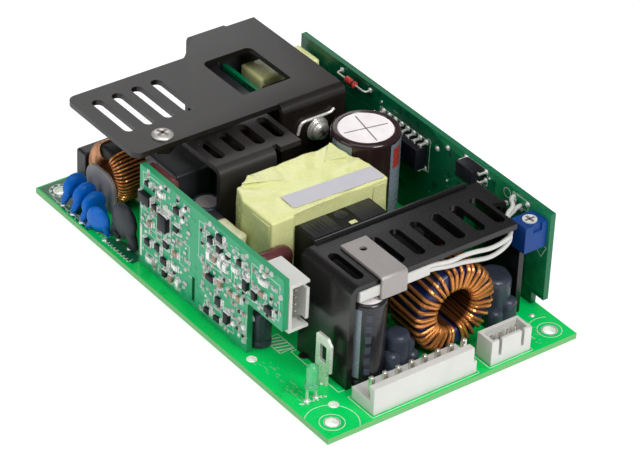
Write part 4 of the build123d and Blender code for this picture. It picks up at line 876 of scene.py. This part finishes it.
def disc(bm, centre, axis, radius, thickness, foot, seed, turned=0):
    """A dipped disc: crowned faces, and coating that runs down both legs."""
    z = centre[2]
    half = thickness / 2
    before = len(bm.verts)
    crown = [(0.45, 0.96), (0.8, 0.72), (0.96, 0.32)]
    profile = [(0, -half)] + [(radius * r, -half * h) for r, h in crown] + [(radius, 0)]
    profile += [(radius * r, half * h) for r, h in crown[::-1]] + [(0, half)]
    rumple(add_lathe(bm, profile, centre, axis, 32), 0.07, 0.4, seed)
    for side in (-1, 1):
        route = [(side * u * radius, v * radius) for u, v in ((0.55, -0.45), (0.8, -0.8), (0.95, -1.1))]
        route += [(side * foot, DECK + 0.9 - z), (side * foot, DECK + 0.3 - z)]
        points = [Vector(centre) + at(axis, u, v, 0) for u, v in route]
        add_tube(bm, points, [half * 0.85, half * 0.75, half * 0.55, half * 0.42, half * 0.3], 10)
        end = Vector(centre) + at(axis, side * foot, 0, 0)
        add_tube(bm, [(end.x, end.y, DECK + 0.6), (end.x, end.y, DECK)], 0.3, 8, 1)
    bm.verts.ensure_lookup_table()
    made = bm.verts[before:]
    bmesh.ops.rotate(bm, verts=made, cent=centre, matrix=Matrix.Rotation(math.radians(turned), 3, "Z"))


bm = bmesh.new()
for seed, centre in enumerate([(-52.9, -32.9, 6.4), (-48.0, -33.1, 6.3), (-43.6, -33.2, 6.0)]):
    disc(bm, centre, "x", 3.6, 2.8, 3.6, seed)
disc(bm, (-37.8, -35.6, 5.4), "y", 3.6, 2.4, 3.6, 4, 20)
piece("blue_discs", bm, [disc_blue, tinned], ["disc_capacitors"], 60)
bm = bmesh.new()
disc(bm, (-29.5, -33.2, 8.6), "y", 5.0, 3.4, 2.6, 7)
piece("black_disc", bm, [disc_black, tinned], ["thermistor"], 60)

# Packages on the right board
bm = bmesh.new()
add_box(bm, (-15.2, 32.6, 18.4), (4.3, 36.0, 24.8), 0, 0.3)
add_lathe(bm, [(0, -0.02), (0.8, -0.02), (0.8, 0.1)], (-14.0, 32.6, 21.6), "y", 14, 2)
package_pins = [PACKAGE_X + (k - 3.5) * PIN_PITCH for k in range(8)]
for x in package_pins:
    for z, way in ((24.8, 1), (18.4, -1)):
        heel = z + way * 0.7
        bend = z + way * 0.55
        add_box(bm, (x - 0.65, 34.1, min(z, heel)), (x + 0.65, 34.45, max(z, heel)), 1, 0.06)
        add_box(bm, (x - 0.34, 34.1, bend - 0.2), (x + 0.34, RIGHT_FACE, bend + 0.2), 1, 0.05)
        add_blob(bm, x, RIGHT_FACE, z + way * 0.75, 0.85, 0.6, "y", -1, 3)
piece("control_package", bm, [chip_black, tinned, box_black, solder], ["control_ic"])
bm = bmesh.new()
add_box(bm, (19.95, 32.4, 26.1), (26.45, 36.0, 30.5), 0, 0.3)
for side in (-1, 1):
    for k in (-1.25, 1.25):
        x = COUPLER[0] + side * 3.25
        out = x + side * 0.7
        z = COUPLER[1] + k
        add_box(bm, (min(x, out), 34.05, z - 0.4), (max(x, out), 34.4, z + 0.4), 1, 0.06)
        add_box(bm, (out - 0.18, 34.05, z - 0.28), (out + 0.18, RIGHT_FACE, z + 0.28), 1, 0.05)
        add_blob(bm, out, RIGHT_FACE, z, 0.75, 0.5, "y", -1, 2)
piece("coupler_package", bm, [chip_black, tinned, solder], ["optocoupler"])
bm = bmesh.new()
end = [(0.55, -2.0), (0.95, -1.75), (1.0, -1.3), (0.9, 0), (1.0, 1.3), (0.95, 1.75), (0.55, 2.0)]
add_lathe(bm, [(0, -2.0)] + end + [(0, 2.0)], DIODE, "x", 18)
add_lathe(bm, [(1.0, 0.95), (1.03, 1.0), (1.03, 1.4), (1.0, 1.45)], DIODE, "x", 18, 2)
for side in (-1, 1):
    route = [(1.9, 0), (5.3, 0), (5.8, 0.2), (6.0, 0.7), (6.0, 1.8)]
    add_tube(bm, [DIODE + Vector((side * x, y, 0)) for x, y in route], 0.25, 8, 1)
piece("diode_body", bm, [glass_red, tinned, chip_black], ["glass_diode"])

# Lamp
bm = bmesh.new()
lens = [(0, 5.2), (1.9, 5.2), (1.9, 6.1), (1.8, 6.2), (1.55, 6.25), (1.5, 10.3)]
lens += arc(0, 10.3, 1.5, 0, 80, 7) + [(0, 11.8)]
add_lathe(bm, lens, (*LAMP, 0), "z", 32)
add_box(bm, (48.3, -32.8, 5.5), (48.9, -32.2, 8.6), 1, 0.1)
add_box(bm, (48.3, -31.8, 5.5), (48.9, -31.3, 8.0), 1, 0.1)
piece("lamp", bm, [led_green, tinned], ["led_lens"])

# Bare wire on the flange
bm = bmesh.new()
bent = [(11.1, 25.5), (11.7, 27.8), (12.4, 28.7), (13.6, 28.9), (19.8, 28.9), (21.4, 29.0), (22.4, 29.8)]
add_tube(bm, [(-17.1, y, z) for y, z in bent], 0.42, 10)
piece("bent_wire", bm, [tinned], ["flange_wire"])

# White leads of the sensor: one smooth curve each
for index, (rise, apart, end_x) in enumerate(((0.62, 1.1, 38.3), (-0.6, -0.25, 41.0))):
    route = [
        (50.3, 0.2, 27.95),
        (50.3, 1.2, 27.95),
        (51.3, 6.0, 27.5),
        (51.3, 10.0, 27.3 + apart * 0.6),
        (51.3, 14.0, 26.4 + apart),
        (51.3, 18.5, 25.5 + apart),
        (50.8, 23.0, 25.9 + apart * 0.7),
        (49.5, 26.6, 26.75),
        (46.0, 28.0, 27.95),
        (43.6, 29.6, 28.25),
        (42.3, 33.0, 28.35),
        (end_x, 35.0, 27.95),
        (end_x, 36.5, 27.95),
    ]
    data = bpy.data.curves.new("sensor_lead_%d" % index, "CURVE")
    data.dimensions = "3D"
    spline = data.splines.new("NURBS")
    spline.points.add(len(route) - 1)
    for point, (x, y, z) in zip(spline.points, route):
        point.co = (x * MM, y * MM, (z + rise) * MM, 1.0)
    spline.order_u = 3
    spline.use_endpoint_u = True
    spline.resolution_u = 10
    data.bevel_depth = 0.6 * MM
    data.bevel_resolution = 3
    data.use_fill_caps = True
    data.materials.append(white_sensor)
    lead = add_object("sensor_lead_%d" % index, data)
    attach(lead, "supply")
    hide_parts("sensor_leads")

# Surface parts of the control board


def loose_boxes(node):
    """The box of each separate solid of a CAD node, in millimetres."""
    mesh = bmesh.new()
    mesh.from_mesh(nodes[node].data)
    bmesh.ops.remove_doubles(mesh, verts=mesh.verts, dist=1e-6)
    seen = set()
    boxes = []
    for first in mesh.verts:
        if first in seen:
            continue
        group = [first]
        seen.add(first)
        for v in group:
            for e in v.link_edges:
                other = e.other_vert(v)
                if other not in seen:
                    seen.add(other)
                    group.append(other)
        low = Vector(min(v.co[i] for v in group) for i in range(3)) / MM
        high = Vector(max(v.co[i] for v in group) for i in range(3)) / MM
        boxes.append((low, high))
    mesh.free()
    return sorted(boxes, key=lambda b: (round(b[0].x, 3), round(b[0].z, 3)))


def mounted(bm, low, high, kind):
    """A surface part: body, bright end caps, and solder on its two pads."""
    add_box(bm, low, (high.x, CONTROL_FACE, high.z), kind, 0.1)
    run = 0 if high.x - low.x >= high.z - low.z else 2
    for end, way in ((low[run], -1), (high[run], 1)):
        inner = end - way * 0.3
        for more, height, reach in ((0.04, 0.72, 0.45), (0.18, 0.3, 0.6), (0.3, 0.06, 0.85)):
            outer = end + way * reach
            first = low.copy()
            last = high.copy()
            first[run] = min(inner, outer)
            last[run] = max(inner, outer)
            first[2 - run] -= more
            last[2 - run] += more
            first.y = CONTROL_FACE - max(0.08, (CONTROL_FACE - low.y) * height)
            last.y = CONTROL_FACE
            add_box(bm, first, last, 2, 0.05)


bm = bmesh.new()
chip_boxes = loose_boxes("control_chips")
for index, (low, high) in enumerate(chip_boxes):
    large = (high.x - low.x) * (high.z - low.z) > 3.4
    mounted(bm, low, high, 0 if large or index % 5 < 2 else 1 + index % 2)
piece("surface_parts", bm, [chip_black, chip_tan, solder], ["control_chips"])

# Solder and small parts between them
bm = bmesh.new()
placed = []
tries = 0
while len(placed) < 150 and tries < 8000:
    tries += 1
    x = rng.uniform(-20.2, 38.4)
    z = rng.uniform(3.2, 30.2)
    if (x > 24.6 and z < 17.6) or (0.4 < x < 5.8):
        continue
    near = [low.x - 1.0 < x < high.x + 1.0 and low.z - 0.9 < z < high.z + 0.9 for low, high in chip_boxes]
    if any(near):
        continue
    if any((x - p[0]) ** 2 + (z - p[1]) ** 2 < 2.0 for p in placed):
        continue
    placed.append((x, z))
    draw = rng.random()
    size = rng.uniform(0.35, 0.9)
    if draw < 0.45:
        add_blob(bm, x, CONTROL_FACE, z, size, size * 0.7, "y", -1, rng.choice((0, 3, 3)))
    elif draw < 0.6:
        add_box(bm, (x - size, CONTROL_FACE - 0.25, z - 0.5), (x + size, CONTROL_FACE, z + 0.5), 3, 0.1)
    else:
        half = Vector((0.5, 0, 0.32)) if rng.random() < 0.5 else Vector((0.32, 0, 0.5))
        middle = Vector((x, CONTROL_FACE, z))
        mounted(bm, middle - half - Vector((0, 0.5, 0)), middle + half, rng.choice((1, 4, 2)))
piece("control_solder", bm, [solder, chip_black, solder_dull, solder_dull, chip_tan])

# Print on the upright boards


def face_line(bm, points, width, face, mat=0, closed=False):
    """A line printed on the near face of an upright board."""
    add_line(bm, points, width, "y", face - PRINT, 0.05, mat, closed)


def face_field(bm, corners, mat):
    """A rectangle printed on the control board."""
    x0, z0, x1, z1 = corners
    add_box(bm, (x0, CONTROL_FACE - PRINT, z0), (x1, CONTROL_FACE + 0.02, z1), mat)


bm = bmesh.new()
FRAMES = (
    (-11.0, 16.6, -7.4, 24.5),
    (-19.0, 6.6, -11.0, 12.4),
    (-3.4, 11.4, 0.6, 18.4),
    (4.6, 17.6, 7.6, 28.6),
    (8.2, 18.6, 18.4, 23.6),
    (19.6, 18.2, 24.0, 28.6),
    (26.4, 18.6, 37.8, 28.8),
    (-20.2, 14.2, -13.6, 18.6),
    (-19.6, 20.6, -12.0, 29.6),
    (7.6, 3.2, 15.0, 7.0),
)
for corners in FRAMES:
    face_line(bm, rect(*corners), 0.16, CONTROL_FACE, closed=True)
face_line(bm, [(15.6, 4.0), (20.0, 4.0), (18.4, 9.6), (15.6, 9.6)], 0.16, CONTROL_FACE, closed=True)
face_field(bm, FRAMES[0], 0)
face_field(bm, (-20.8, 4.0, -19.9, 13.6), 0)
for x in (21.6, 23.2, 24.4):
    face_field(bm, (x, 4.0, x + 0.7, 12.0), 1)
for k in range(34):
    x = rng.uniform(-18.5, 36.0)
    z = rng.uniform(18.0 if x > 24 else 3.6, 29.6)
    if abs(x - 2.6) < 1.4:
        continue
    face_line(bm, [(x, z), (x + rng.uniform(0.5, 1.6), z)], 0.14, CONTROL_FACE)
piece("control_print", bm, [silk, silk_dim])

bm = bmesh.new()
spots = [(38.3, 27.6), (41.0, 26.4), (43.4, 28.9), (35.5, 25.0)]
spots += [(-32.3, 28.6), (-20.3, 28.6), (12.0, 28.4), (8.0, 26.0)]
for x, z in spots:
    add_blob(bm, x, RIGHT_FACE, z, 0.8, 0.5, "y", -1)
for k in range(16):
    x = rng.uniform(-48, 30)
    z = rng.uniform(12, 29.6)
    add_blob(bm, x, RIGHT_FACE, z, rng.uniform(0.35, 0.6), 0.3, "y", -1)
piece("right_solder", bm, [solder])
bm = bmesh.new()
add_ring_line(bm, 35.5, 28.1, 1.3, 0.2, "y", RIGHT_FACE - PRINT, 0.05, 0, steps=24)
face_line(bm, rect(37.6, 29.6, 43.6, 26.8), 0.2, RIGHT_FACE, closed=True)
face_line(bm, [(45.0, 20.6), (51.4, 20.6), (49.8, 17.2)], 0.2, RIGHT_FACE, closed=True)
face_line(bm, rect(-15.8, 17.2, 5.0, 26.2), 0.16, RIGHT_FACE, closed=True)
add_ring_line(bm, 4.4, 26.0, 0.9, 0.16, "y", RIGHT_FACE - PRINT, 0.05, 0, 0, 200, 14)
face_line(bm, rect(18.6, 25.6, 27.8, 30.2), 0.16, RIGHT_FACE, closed=True)
for k in range(26):
    x = rng.uniform(-49, 46)
    z = rng.uniform(10, 29.8)
    face_line(bm, [(x, z), (x + rng.uniform(0.6, 1.8), z)], 0.15, RIGHT_FACE, 1)
for k in range(46):
    x = rng.uniform(-49, 44)
    z = rng.uniform(9, 29)
    run = rng.uniform(2.0, 7.0)
    bend = rng.choice((-1.6, 0.0, 1.6))
    if 4.0 < z + bend < 30.0 and x + run < 50.0:
        middle = x + run * 0.5
        route = [(x, z), (middle, z), (middle + abs(bend), z + bend), (x + run, z + bend)]
        add_line(bm, route, 0.3, "y", RIGHT_FACE - 0.015, 0.03, 2)
# A brighter green field over the front end and top strip of the right board: painted light
field = [(44.4, 6.4), (51.9, 6.4), (51.9, 30.5), (4.0, 30.5)]
field += [(10.0, 28.6), (31.0, 28.6), (31.0, 24.0), (44.4, 22.0)]
add_prism(bm, field, "y", RIGHT_FACE - 0.012, RIGHT_FACE + 0.01, 3)
piece("right_print", bm, [silk, silk_dim, track_green, mask_painted_light])

# Pads and tracks on the far faces of the upright boards


def far_face(bm, level, x_range, z_range, count, pins):
    """Pads where pins come through, and tracks between them, lying on a face."""
    spots = list(pins)
    while len(spots) < count:
        spots.append((rng.uniform(*x_range), rng.uniform(*z_range)))
    for x, z in spots:
        add_ring_line(bm, x, z, 0.42, 0.84, "y", level, 0.03, 0, 0, 360, 12)
    for (x, z), (p, q) in zip(spots, spots[3:]):
        if abs(p - x) < 14.0:
            bend = x + math.copysign(min(abs(q - z), abs(p - x)), p - x)
            add_line(bm, [(x, z), (bend, q), (p, q)], 0.35, "y", level, 0.02, 1)


bm = bmesh.new()
through = [(x, z) for x in package_pins for z in (18.0, 25.2)]
through += [(COUPLER[0] + side * 3.95, COUPLER[1] + k) for side in (-1, 1) for k in (-1.25, 1.25)]
through += [(38.3, 27.9), (41.0, 27.9), (46.0, 24.0), (48.2, 24.0), (50.2, 24.0)]
through += [(-32.3, 28.6), (-20.3, 28.6)]
far_face(bm, RIGHT_BACK - 0.02, (-48.0, 48.0), (4.0, 29.0), 96, through)
piece("right_far_face", bm, [solder_dull, track_green])
bm = bmesh.new()
far_face(bm, CONTROL_BACK - 0.02, (-19.0, 26.0), (4.0, 29.5), 60, [])
piece("control_far_face", bm, [solder_dull, track_green])

# Solder and print of the main board


def board_line(bm, points, width, mat=0, closed=False):
    """A line printed on the main board."""
    add_line(bm, points, width, "z", DECK, PRINT, mat, closed)


def board_ring(bm, x, y, radius, width, start=0, sweep=360, steps=48):
    """A circle or arc printed on the main board."""
    add_ring_line(bm, x, y, radius, width, "z", DECK, PRINT, 0, start, sweep, steps)


bm = bmesh.new()
for x, y in MOUNTS:
    board_ring(bm, x, y, 3.1, 0.16)
board_ring(bm, 58.7, -33.3, 6.6, 0.16, 46, 178, 40)
board_ring(bm, 58.7, 33.3, 5.4, 0.16, 150, 130, 30)
board_line(bm, rect(53.0, -24.4, 62.8, 7.9), 0.16, closed=True)
board_line(bm, rect(56.0, 11.1, 62.8, 24.7), 0.16, closed=True)
board_line(bm, rect(23.2, -27.6, 30.0, -23.4), 0.2, closed=True)
for k in range(5):
    board_line(bm, [(23.6 + 1.3 * k, -27.2), (24.6 + 1.3 * k, -23.8)], 0.42)
board_line(bm, [(30.8, -25.0), (40.0, -25.0)], 0.18)
board_line(bm, [(30.8, -25.0), (30.8, -23.4)], 0.18)
board_line(bm, [(45.6, -25.1), (50.3, -25.1), (50.3, -22.9)], 0.18)
for k in range(9):
    board_ring(bm, 49.1 + 0.3 * (k % 3), -35.4 + 0.85 * k, 0.25 + 0.06 * (k % 2), 0.3, 70 * k, 240, 10)
add_prism(bm, arc(33.8, -23.2, 1.4, 0, 345, 23), "z", DECK, DECK + 0.02, 3)
board_line(bm, [(-34.0, -36.6), (-22.6, -36.6), (-22.6, -35.2)], 0.16)
board_line(bm, [(-57.4, -29.0), (-57.4, -36.8), (-40.0, -36.8)], 0.16)
for k in range(26):
    x = rng.uniform(-62.4, -35.0)
    y = rng.uniform(-36.9, -34.6) if x > -56 else rng.uniform(-29.5, -20.0)
    board_ring(bm, x, y, rng.uniform(0.4, 0.9), 0.18, rng.uniform(0, 360), 230, 14)
for k in range(9):
    board_line(bm, [(-34.0 + 1.4 * k, -37.0), (-33.5 + 1.4 * k, -36.0)], 0.3)
for k in range(44):
    x = rng.uniform(27.0, 50.0)
    y = rng.uniform(-35.6, -31.4)
    board_line(bm, [(x, y), (x + rng.uniform(0.4, 1.2), y)], 0.15, 1)
for k in range(24):
    x = rng.uniform(53.0, 62.0)
    y = rng.uniform(26.0, 31.0)
    board_line(bm, [(x, y), (x, y + rng.uniform(0.4, 1.0))], 0.15, 1)
# Darker green fields by the left corner and along the edge under the primary sink's arm: painted shade
field = [(-63.0, -37.6), (-39.6, -37.6), (-39.6, -34.6), (-48.0, -31.6), (-56.0, -27.6), (-58.6, -27.6)]
field += arc(-58.74, -33.34, 2.1, 88, -264, 24) + [(-58.88, -27.6), (-63.0, -27.6)]
add_prism(bm, field, "z", DECK, DECK + 0.015, 2)
field = [(-34.0, -36.5), (-21.2, -36.5), (-21.2, -32.6), (-30.0, -32.6), (-34.0, -34.4)]
add_prism(bm, field, "z", DECK, DECK + 0.015, 2)
piece("board_print", bm, [silk, silk_dim, mask_painted_shade, ferrite])
bm = bmesh.new()
for spots, radius, steps in ((MOUNTS, 1.715, 48), (SMALL_HOLES, 1.365, 40)):
    for x, y in spots:
        add_ring_line(bm, x, y, radius, 0.05, "z", 0.03, DECK - 0.06, 0, steps=steps)
piece("hole_plating", bm, [tinned])
bm = bmesh.new()
spots = [(48.6, -33.3), (48.6, -30.7), (45.2, -26.0), (-27.0, -33.2), (-32.0, -33.2)]
spots += [(-52.9, -36.5), (-48.0, -36.7), (-43.6, -36.8), (-40.9, -36.4), (-33.7, -36.4)]
spots += [(54.0, 30.2), (51.6, 33.6), (-60.2, -22.0), (-60.2, -19.0), (-60.2, -16.0)]
for x, y in spots:
    add_blob(bm, x, y, DECK, rng.uniform(0.7, 1.0), 0.45)
for x, y in MOUNTS:
    add_ring_line(bm, x, y, 1.95, 0.3, "z", DECK, 0.04, 0, steps=32)
for x, y in arc(-58.74, -33.34, 2.75, 0, 320, 8):
    add_blob(bm, x, y, DECK, 0.52, 0.16)
piece("board_solder", bm, [solder])

# Solder under the board
bm = bmesh.new()
for low, high in loose_boxes("solder_joints"):
    x = (low.x + high.x) / 2
    y = (low.y + high.y) / 2
    cone = [(0, 0), (1.1, 0), (1.05, -0.2), (0.7, -0.7), (0.48, -1.4), (0.42, -2.3), (0.3, -2.6), (0, -2.6)]
    add_lathe(bm, cone, (x, y, 0), "z", 14)
piece("solder_cones", bm, [solder], ["solder_joints"])

# Studio
bm = bmesh.new()
floor_level = cad_low.z / MM - 0.01
add_box(bm, (-4000, -4000, floor_level - 5), (4000, 4000, floor_level))
floor_white = surface("floor_white", (0.22, 0.22, 0.22), 0.7, 0.01, 5.0, 0.02, 50.0)
WHITE = (1.0, 1.0, 1.0, 1.0)
put(floor_white.node_tree.nodes["Principled BSDF"], Emission_Color=WHITE, Emission_Strength=0.93)
floor = mesh_object("floor", bm, [floor_white])
floor.data.shade_flat()
floor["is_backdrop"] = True
world = bpy.data.worlds.new("studio")
scene.world = world
world.use_nodes = True
put(world.node_tree.nodes["Background"], Color=WHITE, Strength=0.14)


def area_light(name, place, target, size, power):
    """A soft square light aimed at a point, in metres and watts."""
    data = bpy.data.lights.new(name, "AREA")
    data.size = size
    data.energy = power
    obj = add_object(name, data)
    obj.location = place
    obj.rotation_euler = (Vector(target) - Vector(place)).to_track_quat("-Z", "Y").to_euler()


area_light("key", (0.86, 0.11, 0.74), (0, 0, 0.01), 0.5, 9.1)
area_light("top", (0.15, -0.2, 1.1), (0, 0, 0), 1.0, 5.0)
area_light("fill", (-0.2, -1.0, 0.5), (0, 0, 0.01), 0.8, 3.6)
area_light("sheen", (-0.44, 0.22, 0.28), (-0.04, 0, 0.035), 0.24, 0.29)
scene.view_settings.view_transform = "Standard"

low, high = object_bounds()
